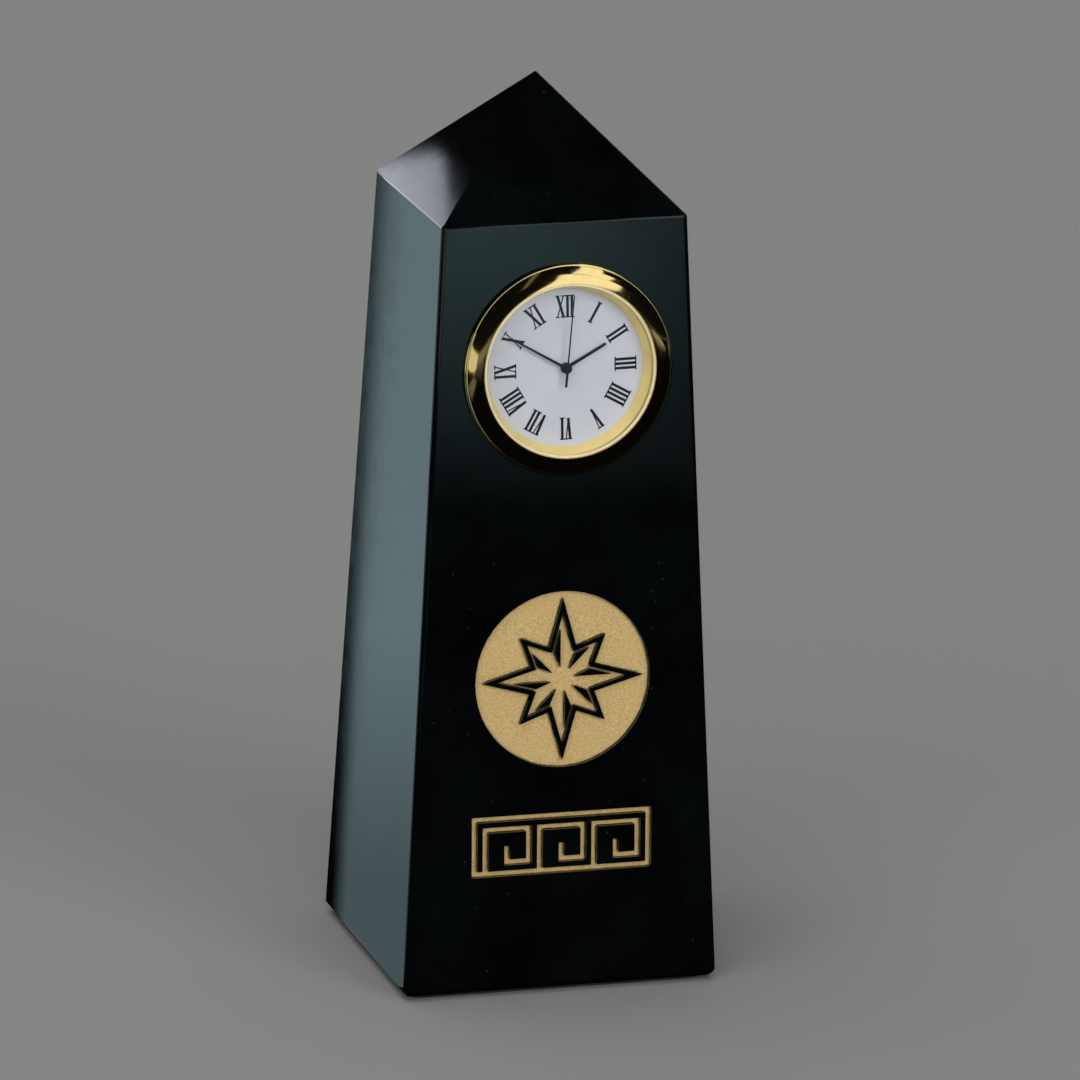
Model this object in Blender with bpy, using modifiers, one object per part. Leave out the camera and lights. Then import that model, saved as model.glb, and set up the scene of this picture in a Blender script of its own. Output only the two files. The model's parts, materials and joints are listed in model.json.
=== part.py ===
"""Marble obelisk clock: a tapered stone pillar with a pull-out quartz clock insert.

Metres, +Z up. The origin is on the table under the middle of the foot and the dial faces -Y.
The clock insert is built in its own frame, whose +Z leaves the stone face squarely, whose +Y
runs up that face and whose zero height is the stone face itself.
"""

import math

import bmesh
import bpy
from mathutils import Matrix, Vector

# Stone pillar
BASE_WIDTH = 0.055
BASE_DEPTH = 0.053
SHOULDER_WIDTH = 0.0424
SHOULDER_DEPTH = 0.0428
SHOULDER_HEIGHT = 0.1325
TOTAL_HEIGHT = 0.1536
APEX_OFFSET_X = 0.0005
ARRIS_CHAMFER = 0.00065
FOOT_CHAMFER = 0.0012
PAD_THICKNESS = 0.0006
PAD_INSET = 0.0022
PAD_CORNER = 0.002

# Clearances
STONE_GAP = 0.0001
FIT_GAP = 0.00005
BORE_GAP = 0.0001
FILL_GAP = 0.0001

# Place of the clock in the front face
CLOCK_HEIGHT = 0.1076
CLOCK_OFFSET_X = 0.0005
BORE_RADIUS = 0.017
BORE_DEPTH = 0.0105

# Carved and gold-filled ornament on the front face
CARVING_DEPTH = 0.0012
FILL_THICKNESS = 0.0003
STAR_HEIGHT = 0.0545
STAR_POINTS = 8
STAR_LONG = 0.0114
STAR_SHORT = 0.0088
STAR_VALLEY = 0.005
STAR_LINE = 0.0008
STAR_CONTOUR = 0.0007
MEDALLION_RADIUS = 0.0152
KEY_HEIGHT = 0.0262
KEY_COUNT = 3
KEY_STEP = 0.0019
KEY_LINE = 0.001
KEY_PITCH = 5
KEY_HOOK = ((0, 0), (0, 4), (4, 4), (4, 1), (2, 1), (2, 2.5))

# Bezel, crystal and dial
BEZEL_RADIUS = 0.018
BEZEL_EDGE = 0.0008
BEZEL_CREST_RADIUS = 0.015
BEZEL_CREST = 0.002
BEZEL_LIP_RADIUS = 0.01445
BEZEL_LIP_THICKNESS = 0.0003
BEZEL_SKIRT_WALL = 0.0004
BEZEL_SKIRT_DEPTH = 0.0009
CRYSTAL_RADIUS = 0.01495
CRYSTAL_BOTTOM = 0.00055
CRYSTAL_EDGE = 0.0008
CRYSTAL_RISE = 0.00015
GASKET_WALL = 0.00025
GASKET_FOOT = 0.0002
REFLECTOR_RIM = 0.0003
DIAL_OPENING_RADIUS = 0.0134
DIAL_DEPTH = 0.0016
DIAL_THICKNESS = 0.0004

# Case
CASE_RADIUS = 0.0155
CASE_WALL = 0.0008
CASE_DEPTH = 0.0079
COVER_THICKNESS = 0.0004
COVER_SPIGOT_WALL = 0.0004
COVER_SPIGOT_HEIGHT = 0.00065
COVER_EDGE = 0.0002
SEAL_THICKNESS = 0.0003
BAND_TOP_DEPTH = 0.001
BAND_HEIGHT = 0.003
BAND_RIBS = 4
BAND_RIB_DEPTH = 0.0006

# Movement
MOVEMENT_RADIUS = 0.01155
HOLDER_DEPTH = 0.0069
PLATE_DEPTH = 0.004
PLATE_THICKNESS = 0.0008
BRIDGE_DEPTH = 0.0068
BRIDGE_THICKNESS = 0.0004
WHEEL_THICKNESS = 0.00025
PINION_THICKNESS = 0.00035
ARBOR_RADIUS = 0.0002
PIVOT_DEPTH = 0.0003
CENTRE_TUBE_WALL = 0.0001
CANNON_WALL = 0.0001
HOUR_PIPE_WALL = 0.00012
PILLAR_RADIUS = 0.0006
SCREW_RADIUS = 0.0003
SCREW_HEAD_RADIUS = 0.00055
SCREW_HEAD_HEIGHT = 0.0003
SCREW_LENGTH = 0.0012
SCREW_PLACES = ((-0.0053, 0.0009), (0.0043, 0.0024), (0.0009, -0.0046))
BRIDGE_LEFT = -0.0064
BRIDGE_RIGHT = 0.0066
BRIDGE_FOOT = -0.0056
BRIDGE_HEAD = 0.0034
BRIDGE_LEFT_FOOT = -0.0034
BRIDGE_LEFT_HEAD = 0.0018
BRIDGE_RIGHT_HEAD = 0.0004
BRIDGE_FOOT_START = 0.0003
BRIDGE_HEAD_SPAN = (-0.003, 0.005)

# Toothed wheels
TOOTH_HEIGHT = 2.1
TOOTH_TIP_SHARE = 0.4
GOING_MODULE = 0.00009
THIRD_MODULE = 0.000085
SECONDS_MODULE = 0.00013
CANNON_MODULE = 0.000125
HOUR_MODULE = 0.00012
PINION_TEETH = 8
INTERMEDIATE_TEETH = 48
SECONDS_TEETH = 40
THIRD_TEETH = 64
CENTRE_TEETH = 60
CANNON_TEETH = 12
MINUTE_WHEEL_TEETH = 36
MINUTE_PINION_TEETH = 10
HOUR_WHEEL_TEETH = 40
THIRD_BEARING = math.radians(210)
INTERMEDIATE_BEARING = math.radians(-30)
ROTOR_BEARING = math.radians(-60)
MINUTE_WHEEL_BEARING = math.radians(40)

# Depth below the stone face of the upper side of each wheel
MINUTE_WHEEL_DEPTH = 0.0036
HOUR_WHEEL_DEPTH = 0.00315
CENTRE_WHEEL_DEPTH = 0.00495
THIRD_WHEEL_DEPTH = 0.0054
SECONDS_WHEEL_DEPTH = 0.00585
INTERMEDIATE_WHEEL_DEPTH = 0.00625

# Motor, circuit and cell
ROTOR_RADIUS = 0.0008
ROTOR_DEPTH = 0.0052
ROTOR_HEIGHT = 0.0006
STATOR_DEPTH = 0.0053
STATOR_THICKNESS = 0.0004
STATOR_GAP = 0.00025
STATOR_POLE_WALL = 0.0006
STATOR_ARM_MARGIN = 0.0004
STATOR_ARM_DROP = 2.4
STATOR_NECK = 0.45
STATOR_POLE_TOP = (0.5, 0.85)
COIL_RADIUS = 0.00115
COIL_LENGTH = 0.008
COIL_PLACE = (-0.0001, -0.0083)
CORE_LENGTH = 0.0124
CORE_WIDTH = 0.0008
CORE_THICKNESS = 0.0005
BOARD_THICKNESS = 0.0003
BOARD_RADIUS = 0.0112
BOARD_INNER_X = -0.0064
BOARD_HALF_ANGLE = math.radians(46)
BOARD_CHORD_SHARE = 0.6
CAN_RADIUS = 0.0006
CAN_LENGTH = 0.0042
CAN_PLACE = (-0.0084, -0.0015)
CHIP_RADIUS = 0.0011
CHIP_HEIGHT = 0.0007
CHIP_DOME = ((1.0, 0.0), (0.8, 0.7), (0.4, 1.0), (0.0, 1.0))
CHIP_PLACE = (-0.0079, 0.0042)
CELL_RADIUS = 0.0034
CELL_HEIGHT = 0.0026
CELL_EDGE = 0.0003
CELL_PLACE = (0.0, 0.0073)
CLAMP_WIDTH = 0.002
CLAMP_THICKNESS = 0.0002
CLAMP_LEG = 0.0004

# Hand setting
STEM_DEPTH = 0.0057
STEM_RADIUS = 0.0004
STEM_INNER_X = 0.0056
STEM_BLOCK_X = 0.0082
STEM_BLOCK_LENGTH = 0.0026
STEM_BLOCK_WIDTH = 0.0022
SETTING_PINION_X = 0.0064
SETTING_PINION_LENGTH = 0.0012
SETTING_PINION_TEETH = 14
SETTING_MODULE = 0.0001
CROWN_RADIUS = 0.00135
CROWN_LENGTH = 0.00115
CROWN_TEETH = 24
CROWN_KNURL = 0.00012
CROWN_SOCKET = 0.0005

# Hands: length, half width at the hub, half width at the tip and hub radius
HOUR_HAND = (0.008, 0.00036, 0.00028, 0.0012)
MINUTE_HAND = (0.0111, 0.0003, 0.00018, 0.00105)
SECOND_HAND = (0.0124, 0.00014, 0.0001, 0.0009)
SECOND_TAIL = (0.0031, 0.00022)
HAND_THICKNESS = 0.0002
HAND_SPACING = 0.0005
HOUR_HAND_DEPTH = 0.0011
PIPE_STAND = 0.0001
HOUR_ANGLE = math.radians(-59)
MINUTE_ANGLE = math.radians(60)
SECOND_ANGLE = math.radians(-5)

# Smoothness of round pieces
BIG_STEPS = 48
CASE_STEPS = 32
SMALL_STEPS = 12
ARC_STEPS = 10
CORNER_STEPS = 4
DOME_STEPS = 4
LIP_STEPS = 2
SEAL_STEPS = 6
MERGE = 0.000001
PASS_THROUGH = 0.0005

# Sizes that follow from those above
FOOT_HEIGHT = PAD_THICKNESS + STONE_GAP
FRONT_LEAN = math.atan2((BASE_DEPTH - SHOULDER_DEPTH) / 2, SHOULDER_HEIGHT - FOOT_HEIGHT)
CASE_INNER = CASE_RADIUS - CASE_WALL
CASE_TOP = CRYSTAL_BOTTOM - GASKET_FOOT - 2 * FIT_GAP
PLATE_BOTTOM = -PLATE_DEPTH - PLATE_THICKNESS
BRIDGE_TOP = -BRIDGE_DEPTH
CASE_BOTTOM = -CASE_DEPTH
CENTRE_BORE = ARBOR_RADIUS + FIT_GAP
CENTRE_TUBE_RADIUS = CENTRE_BORE + CENTRE_TUBE_WALL
CANNON_BORE = CENTRE_TUBE_RADIUS + FIT_GAP
CANNON_RADIUS = CANNON_BORE + CANNON_WALL
HOUR_BORE = CANNON_RADIUS + FIT_GAP
HOUR_PIPE_RADIUS = HOUR_BORE + HOUR_PIPE_WALL
THIRD_DISTANCE = GOING_MODULE * (CENTRE_TEETH + PINION_TEETH) / 2
INTERMEDIATE_DISTANCE = SECONDS_MODULE * (SECONDS_TEETH + PINION_TEETH) / 2
ROTOR_DISTANCE = GOING_MODULE * (INTERMEDIATE_TEETH + PINION_TEETH) / 2
MINUTE_WHEEL_DISTANCE = CANNON_MODULE * (CANNON_TEETH + MINUTE_WHEEL_TEETH) / 2
MINUTE_HAND_DEPTH = HOUR_HAND_DEPTH - HAND_SPACING
SECOND_HAND_DEPTH = MINUTE_HAND_DEPTH - HAND_SPACING


def polar(distance, angle, start=(0.0, 0.0)):
    """A point at a distance and bearing from a start point."""
    return (start[0] + distance * math.cos(angle), start[1] + distance * math.sin(angle))


def ring_points(radius, count, middle=(0.0, 0.0)):
    return [polar(radius, 2 * math.pi * step / count, middle) for step in range(count)]


THIRD_PLACE = polar(THIRD_DISTANCE, THIRD_BEARING)
INTERMEDIATE_PLACE = polar(INTERMEDIATE_DISTANCE, INTERMEDIATE_BEARING)
ROTOR_PLACE = polar(ROTOR_DISTANCE, ROTOR_BEARING, INTERMEDIATE_PLACE)
MINUTE_WHEEL_PLACE = polar(MINUTE_WHEEL_DISTANCE, MINUTE_WHEEL_BEARING)


def clear_scene():
    for old in list(bpy.data.objects):
        bpy.data.objects.remove(old, do_unlink=True)


def make_collection(name):
    found = bpy.data.collections.new(name)
    bpy.context.scene.collection.children.link(found)
    return found


def make_material(name, colour, roughness, metallic=0.0):
    made = bpy.data.materials.new(name)
    made.use_nodes = True
    shader = made.node_tree.nodes["Principled BSDF"]
    shader.inputs["Base Color"].default_value = (*colour, 1.0)
    shader.inputs["Roughness"].default_value = roughness
    shader.inputs["Metallic"].default_value = metallic
    made.diffuse_color = (*colour, 1.0)
    return made


def place(thing, parent, at=(0.0, 0.0, 0.0), turn=(0.0, 0.0, 0.0), finish=None):
    """Put an object in the model, or among the cutters when it has no finish."""
    (PARTS if finish else CUTTERS).objects.link(thing)
    thing.parent = parent
    thing.location = at
    thing.rotation_euler = turn
    if finish:
        thing.data.materials.append(finish)
    else:
        thing.hide_render = True
        thing.display_type = "WIRE"
    return thing


def make_frame(name, at, turn=(0.0, 0.0, 0.0)):
    frame = bpy.data.objects.new(name, None)
    PARTS.objects.link(frame)
    frame.location = at
    frame.rotation_euler = turn
    return frame


def smooth(mesh, angle=math.radians(35)):
    mesh.shade_smooth()
    mesh.set_sharp_from_angle(angle=angle)


def turned(name, profile, parent, finish=None, at=(0.0, 0.0), steps=CASE_STEPS, closed=True):
    """A turned shape from (radius, height) points that run down the outer side first."""
    mesh = bpy.data.meshes.new(name)
    shape = bmesh.new()
    points = [shape.verts.new((radius, 0.0, height)) for radius, height in profile]
    for first, second in zip(points, points[1:]):
        shape.edges.new((first, second))
    if closed:
        shape.edges.new((points[-1], points[0]))
    shape.to_mesh(mesh)
    shape.free()
    thing = place(bpy.data.objects.new(name, mesh), parent, (*at, 0.0), finish=finish)
    screw = thing.modifiers.new("turn", "SCREW")
    screw.steps = steps
    screw.render_steps = steps
    screw.use_merge_vertices = True
    screw.merge_threshold = MERGE
    screw.use_smooth_shade = False
    return thing


def rod(name, radius, bottom, top, parent, finish=None, at=(0.0, 0.0), steps=SMALL_STEPS, turn=None):
    """A solid cylinder between two heights, or along +X between two distances."""
    mesh = bpy.data.meshes.new(name)
    shape = bmesh.new()
    bmesh.ops.create_cone(
        shape,
        cap_ends=True,
        segments=steps,
        radius1=radius,
        radius2=radius,
        depth=top - bottom,
        matrix=Matrix.Translation((0.0, 0.0, (bottom + top) / 2)),
    )
    shape.to_mesh(mesh)
    shape.free()
    smooth(mesh)
    where = (*at, 0.0) if turn is None else at
    return place(bpy.data.objects.new(name, mesh), parent, where, turn or (0.0, 0.0, 0.0), finish)


def block(name, size, centre, parent, finish=None, edge=0.0):
    """A box with its edges along the parent's axes."""
    mesh = bpy.data.meshes.new(name)
    shape = bmesh.new()
    bmesh.ops.create_cube(shape, size=1.0, matrix=Matrix.Diagonal((*size, 1.0)))
    if edge:
        bmesh.ops.bevel(
            shape, geom=shape.edges[:], offset=edge, segments=1, affect="EDGES", clamp_overlap=True
        )
    shape.to_mesh(mesh)
    shape.free()
    return place(bpy.data.objects.new(name, mesh), parent, centre, finish=finish)


def flat(name, outlines, bottom, top, parent, finish=None, at=(0.0, 0.0), turn=None):
    """A flat piece: the first outline is its edge and the others are holes in it."""
    curve = bpy.data.curves.new(name, "CURVE")
    curve.dimensions = "2D"
    curve.fill_mode = "BOTH"
    curve.extrude = (top - bottom) / 2
    for outline in outlines:
        line = curve.splines.new("POLY")
        line.points.add(len(outline) - 1)
        for point, (x, y) in zip(line.points, outline):
            point.co = (x, y, 0.0, 1.0)
        line.use_cyclic_u = True
    middle = (bottom + top) / 2
    drawn = bpy.data.objects.new(name, curve)
    bpy.context.scene.collection.objects.link(drawn)
    bpy.context.view_layer.update()
    mesh = bpy.data.meshes.new_from_object(
        drawn.evaluated_get(bpy.context.evaluated_depsgraph_get())
    )
    bpy.data.objects.remove(drawn)
    shape = bmesh.new()
    shape.from_mesh(mesh)
    bmesh.ops.remove_doubles(shape, verts=shape.verts, dist=MERGE)
    bmesh.ops.recalc_face_normals(shape, faces=shape.faces)
    shape.transform(Matrix.Translation((0.0, 0.0, middle)))
    shape.to_mesh(mesh)
    shape.free()
    smooth(mesh)
    where = (*at, 0.0) if turn is None else at
    return place(bpy.data.objects.new(name, mesh), parent, where, turn or (0.0, 0.0, 0.0), finish)


def combine(target, tool, operation):
    change = target.modifiers.new(tool.name, "BOOLEAN")
    change.operation = operation
    change.solver = "EXACT"
    change.object = tool
    return target


def join(target, tool):
    return combine(target, tool, "UNION")


def cut(target, tool):
    return combine(target, tool, "DIFFERENCE")


def offset_outline(points, distance, closed=True):
    """Move an outline sideways by a distance: outwards on one drawn anticlockwise."""
    moved = []
    count = len(points)
    for index in range(count):
        here = Vector(points[index])
        before = Vector(points[index - 1]) if closed or index else None
        after = Vector(points[(index + 1) % count]) if closed or index < count - 1 else None
        sides = []
        for start, end in ((before, here), (here, after)):
            if start is not None and end is not None:
                run = (end - start).normalized()
                sides.append(Vector((run.y, -run.x)))
        if len(sides) == 2:
            push = (sides[0] + sides[1]) / (1 + sides[0].dot(sides[1]))
        else:
            push = sides[0]
        moved.append(tuple(here + push * distance))
    return moved


def front_y(height):
    """Where the leaning front face is at a height."""
    return -BASE_DEPTH / 2 + (height - FOOT_HEIGHT) * math.tan(FRONT_LEAN)


def face_frame(name, x, height):
    """A frame on the front face: +X to the right, +Y up the face, +Z out of it."""
    return make_frame(name, (x, front_y(height), height), (math.pi / 2 - FRONT_LEAN, 0.0, 0.0))


def gear_outline(teeth, module, phase=0.0):
    """Pointed teeth, one of which lies along the phase angle."""
    pitch = 2 * math.pi / teeth
    middle = module * teeth / 2
    tip = middle + module * TOOTH_HEIGHT * TOOTH_TIP_SHARE
    root = tip - module * TOOTH_HEIGHT
    points = []
    for tooth in range(teeth):
        angle = phase + tooth * pitch
        points.append(polar(tip, angle))
        points.append(polar(root, angle + pitch / 2))
    return points


def meshed_phase(bearing, teeth_a, phase_a, teeth_b):
    """The phase of wheel b, which lies at a bearing from wheel a, with their teeth in mesh."""
    pitch_a = 2 * math.pi / teeth_a
    pitch_b = 2 * math.pi / teeth_b
    share = ((bearing - phase_a) / pitch_a) % 1.0
    return bearing + math.pi - (0.5 - share) * pitch_b


def hand_outline(length, root_half, tip_half, hub, tail=None):
    """A slim tapering hand that points up +Y from a round hub."""
    points = [(-tip_half, length), (-root_half, math.sqrt(hub**2 - root_half**2))]
    left = math.pi / 2 + math.asin(root_half / hub)
    right = 5 * math.pi / 2 - math.asin(root_half / hub)
    if tail:
        reach, half = tail
        low = math.asin(half / hub)
        arcs = [(left, 1.5 * math.pi - low), (1.5 * math.pi + low, right)]
    else:
        arcs = [(left, right)]
    for number, (start, end) in enumerate(arcs):
        count = max(4, round(SMALL_STEPS * (end - start) / (2 * math.pi)))
        first = 1 if number == 0 else 0
        points += [polar(hub, start + (end - start) * step / count) for step in range(first, count + 1)]
        if tail and number == 0:
            points += [(-half, -reach), (half, -reach)]
    points.append((tip_half, length))
    return points


def build_stone(fills):
    """The pillar with its pyramid top, arris chamfers, clock bore and carved recesses."""
    mesh = bpy.data.meshes.new("marble_body")
    shape = bmesh.new()
    bmesh.ops.create_cube(shape, size=1.0)
    for corner in shape.verts:
        upper = corner.co.z > 0
        width = SHOULDER_WIDTH if upper else BASE_WIDTH
        depth = SHOULDER_DEPTH if upper else BASE_DEPTH
        corner.co.x *= width
        corner.co.y *= depth
        corner.co.z = SHOULDER_HEIGHT if upper else FOOT_HEIGHT
    top = max(shape.faces, key=lambda face: face.calc_center_median().z)
    roof = bmesh.ops.poke(shape, faces=[top], offset=0.0)
    roof["verts"][0].co = (APEX_OFFSET_X, 0.0, TOTAL_HEIGHT)
    bmesh.ops.recalc_face_normals(shape, faces=shape.faces)
    foot = [edge for edge in shape.edges if max(end.co.z for end in edge.verts) < SHOULDER_HEIGHT / 2]
    bmesh.ops.bevel(shape, geom=foot, offset=FOOT_CHAMFER, segments=1, affect="EDGES")
    arrises = []
    for edge in shape.edges:
        low, high = sorted(end.co.z for end in edge.verts)
        if low < SHOULDER_HEIGHT / 2 < high:
            arrises.append(edge)
    bmesh.ops.bevel(shape, geom=arrises, offset=ARRIS_CHAMFER, segments=1, affect="EDGES")
    shape.to_mesh(mesh)
    shape.free()
    stone = place(bpy.data.objects.new("marble_body", mesh), None, finish=STONE)
    bore = rod("clock_bore", BORE_RADIUS, -BORE_DEPTH, PASS_THROUGH, CLOCK, steps=BIG_STEPS)
    cut(stone, bore)
    for name, outlines, frame in fills:
        grown = [offset_outline(outlines[0], FILL_GAP)]
        grown += [offset_outline(hole, -FILL_GAP) for hole in outlines[1:]]
        cut(stone, flat(name + "_recess", grown, -CARVING_DEPTH, PASS_THROUGH, frame))
    return stone


def build_pad():
    width = BASE_WIDTH - 2 * PAD_INSET
    depth = BASE_DEPTH - 2 * PAD_INSET
    corners = []
    for sign_x, sign_y, start in ((1, 1, 0.0), (-1, 1, 0.5), (-1, -1, 1.0), (1, -1, 1.5)):
        middle = (sign_x * (width / 2 - PAD_CORNER), sign_y * (depth / 2 - PAD_CORNER))
        for step in range(CORNER_STEPS + 1):
            corners.append(polar(PAD_CORNER, math.pi * (start + step / CORNER_STEPS / 2), middle))
    frame = make_frame("foot_frame", (0.0, 0.0, 0.0))
    return flat("base_pad", [corners], 0.0, PAD_THICKNESS, frame, FELT)


def star_outlines():
    """A compass star: one half of each point is an open window in its gold outline."""
    edge = []
    windows = []
    pitch = 2 * math.pi / STAR_POINTS
    for number in range(STAR_POINTS):
        angle = math.pi / 2 + number * pitch
        tip = polar(STAR_LONG if number % 2 == 0 else STAR_SHORT, angle)
        valley = polar(STAR_VALLEY, angle + pitch / 2)
        edge += [tip, valley]
        windows.append(offset_outline([(0.0, 0.0), tip, valley], -STAR_LINE / 2))
    return [edge] + windows


def medallion_outlines():
    """The round ground of the star, with a line of bare stone left along the star's contour."""
    contour = offset_outline(star_outlines()[0], STAR_CONTOUR)
    return [ring_points(MEDALLION_RADIUS, BIG_STEPS), contour]


def key_outlines():
    """A framed Greek key band whose hooks rise from the lower rule."""
    half = KEY_LINE / 2
    wide = (KEY_PITCH * KEY_COUNT + 1) * KEY_STEP
    tall = KEY_PITCH * KEY_STEP
    left = -wide / 2
    inner = [(left + half, half - tall / 2)]
    for number in range(KEY_COUNT):
        start = left + (1 + KEY_PITCH * number) * KEY_STEP
        path = [(start + x * KEY_STEP, y * KEY_STEP - tall / 2) for x, y in KEY_HOOK]
        path[0] = (path[0][0], half - tall / 2)
        inner += offset_outline(path, -half, closed=False)
        inner += reversed(offset_outline(path, half, closed=False))
    inner.append((-left - half, half - tall / 2))
    inner.append((-left - half, tall / 2 - half))
    inner.append((left + half, tall / 2 - half))
    edge = [
        (left - half, -tall / 2 - half),
        (-left + half, -tall / 2 - half),
        (-left + half, tall / 2 + half),
        (left - half, tall / 2 + half),
    ]
    return [edge, inner]


def build_ornament():
    star_frame = face_frame("star_frame", 0.0, STAR_HEIGHT)
    key_frame = face_frame("key_frame", 0.0, KEY_HEIGHT)
    fills = [
        ("star_fill", star_outlines(), star_frame),
        ("medallion_fill", medallion_outlines(), star_frame),
        ("key_band_fill", key_outlines(), key_frame),
    ]
    bottom = FILL_GAP - CARVING_DEPTH
    for name, outlines, frame in fills:
        flat(name, outlines, bottom, bottom + FILL_THICKNESS, frame, GOLD_FILL)
    return fills


def build_bezel():
    """A domed ring whose lip holds the crystal and whose skirt grips the case."""
    lip_bottom = CRYSTAL_BOTTOM + CRYSTAL_EDGE + FIT_GAP
    lip_top = lip_bottom + BEZEL_LIP_THICKNESS
    recess = CRYSTAL_RADIUS + GASKET_WALL + 2 * FIT_GAP
    skirt_inner = CASE_RADIUS + FIT_GAP
    dome = []
    for step in range(LIP_STEPS + 1):
        turn = math.pi / 2 * step / LIP_STEPS
        across = BEZEL_CREST_RADIUS - BEZEL_LIP_RADIUS
        rise = BEZEL_CREST - lip_top
        dome.append((BEZEL_CREST_RADIUS - across * math.cos(turn), lip_top + rise * math.sin(turn)))
    for step in range(1, DOME_STEPS + 1):
        turn = math.pi / 2 * step / DOME_STEPS
        across = BEZEL_RADIUS - BEZEL_CREST_RADIUS
        fall = BEZEL_CREST - BEZEL_EDGE
        dome.append((BEZEL_CREST_RADIUS + across * math.sin(turn), BEZEL_EDGE + fall * math.cos(turn)))
    profile = dome + [
        (BEZEL_RADIUS, STONE_GAP),
        (skirt_inner + BEZEL_SKIRT_WALL, STONE_GAP),
        (skirt_inner + BEZEL_SKIRT_WALL, -BEZEL_SKIRT_DEPTH),
        (skirt_inner, -BEZEL_SKIRT_DEPTH),
        (skirt_inner, CASE_TOP + FIT_GAP),
        (recess, CASE_TOP + FIT_GAP),
        (recess, lip_bottom),
        (BEZEL_LIP_RADIUS, lip_bottom),
    ]
    return turned("bezel", profile, CLOCK, GOLD, steps=BIG_STEPS)


def build_crystal():
    edge_top = CRYSTAL_BOTTOM + CRYSTAL_EDGE
    dome = []
    for step in range(DOME_STEPS):
        share = step / DOME_STEPS
        dome.append((CRYSTAL_RADIUS * share, edge_top + CRYSTAL_RISE * (1 - share**2)))
    shoulder = BEZEL_LIP_RADIUS - FIT_GAP
    profile = dome + [
        (shoulder, edge_top),
        (CRYSTAL_RADIUS, edge_top),
        (CRYSTAL_RADIUS, CRYSTAL_BOTTOM),
        (0.0, CRYSTAL_BOTTOM),
    ]
    turned("crystal", profile, CLOCK, GLASS, steps=BIG_STEPS, closed=False)
    inner = CRYSTAL_RADIUS + FIT_GAP
    outer = inner + GASKET_WALL
    foot_bottom = CASE_TOP + FIT_GAP
    seal = [
        (outer, edge_top),
        (outer, foot_bottom),
        (CASE_INNER + FIT_GAP, foot_bottom),
        (CASE_INNER + FIT_GAP, foot_bottom + GASKET_FOOT),
        (inner, foot_bottom + GASKET_FOOT),
        (inner, edge_top),
    ]
    turned("crystal_gasket", seal, CLOCK, NYLON, steps=BIG_STEPS)


def build_dial():
    outer = CASE_INNER - BORE_GAP
    top = CRYSTAL_BOTTOM - STONE_GAP
    bottom = FIT_GAP - DIAL_DEPTH
    cone = [
        (outer, top),
        (outer, bottom),
        (DIAL_OPENING_RADIUS, bottom),
        (outer - REFLECTOR_RIM, top),
    ]
    turned("reflector_ring", cone, CLOCK, GOLD, steps=BIG_STEPS)
    hole = HOUR_PIPE_RADIUS + 2 * BORE_GAP
    outlines = [ring_points(outer, BIG_STEPS), ring_points(hole, SMALL_STEPS)]
    flat("dial", outlines, -DIAL_DEPTH - DIAL_THICKNESS, -DIAL_DEPTH, CLOCK, DIAL_WHITE)


def build_case():
    case = turned(
        "case_ring",
        [
            (CASE_RADIUS, CASE_TOP),
            (CASE_RADIUS, CASE_BOTTOM),
            (CASE_INNER, CASE_BOTTOM),
            (CASE_INNER, CASE_TOP),
        ],
        CLOCK,
        STEEL,
    )
    crown_hole = CROWN_RADIUS + 2 * BORE_GAP
    along = (0.0, math.pi / 2, 0.0)
    start = (0.0, 0.0, -STEM_DEPTH)
    reach = CASE_RADIUS + PASS_THROUGH
    hole = rod("crown_hole", crown_hole, CASE_INNER - PASS_THROUGH, reach, CLOCK, at=start, turn=along)
    cut(case, hole)

    cover_top = CASE_BOTTOM - FIT_GAP
    cover_bottom = cover_top - COVER_THICKNESS
    spigot = CASE_INNER - BORE_GAP
    spigot_top = cover_top + COVER_SPIGOT_HEIGHT
    rim = CASE_RADIUS - BORE_GAP
    turned(
        "back_cover",
        [
            (0.0, cover_top),
            (spigot - COVER_SPIGOT_WALL, cover_top),
            (spigot - COVER_SPIGOT_WALL, spigot_top),
            (spigot, spigot_top),
            (spigot, cover_top),
            (rim, cover_top),
            (rim, cover_bottom + COVER_EDGE),
            (rim - COVER_EDGE, cover_bottom),
            (0.0, cover_bottom),
        ],
        CLOCK,
        STEEL,
        closed=False,
    )
    seal_radius = spigot - SEAL_THICKNESS / 2
    seal_height = spigot_top + FIT_GAP + SEAL_THICKNESS / 2
    seal = []
    for step in range(SEAL_STEPS):
        turn = math.pi / 2 - 2 * math.pi * step / SEAL_STEPS
        seal.append(polar(SEAL_THICKNESS / 2, turn, (seal_radius, seal_height)))
    turned("back_gasket", seal, CLOCK, RUBBER)

    band_inner = CASE_RADIUS + FIT_GAP
    band_outer = BORE_RADIUS - BORE_GAP
    groove = band_outer - BAND_RIB_DEPTH
    rib = BAND_HEIGHT / BAND_RIBS
    outside = []
    for number in range(BAND_RIBS):
        rib_top = -BAND_TOP_DEPTH - number * rib
        outside += [(groove, rib_top), (band_outer, rib_top - rib / 2)]
    band_bottom = -BAND_TOP_DEPTH - BAND_HEIGHT
    band = outside + [(groove, band_bottom), (band_inner, band_bottom), (band_inner, -BAND_TOP_DEPTH)]
    turned("grip_band", band, CLOCK, RUBBER)


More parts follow.
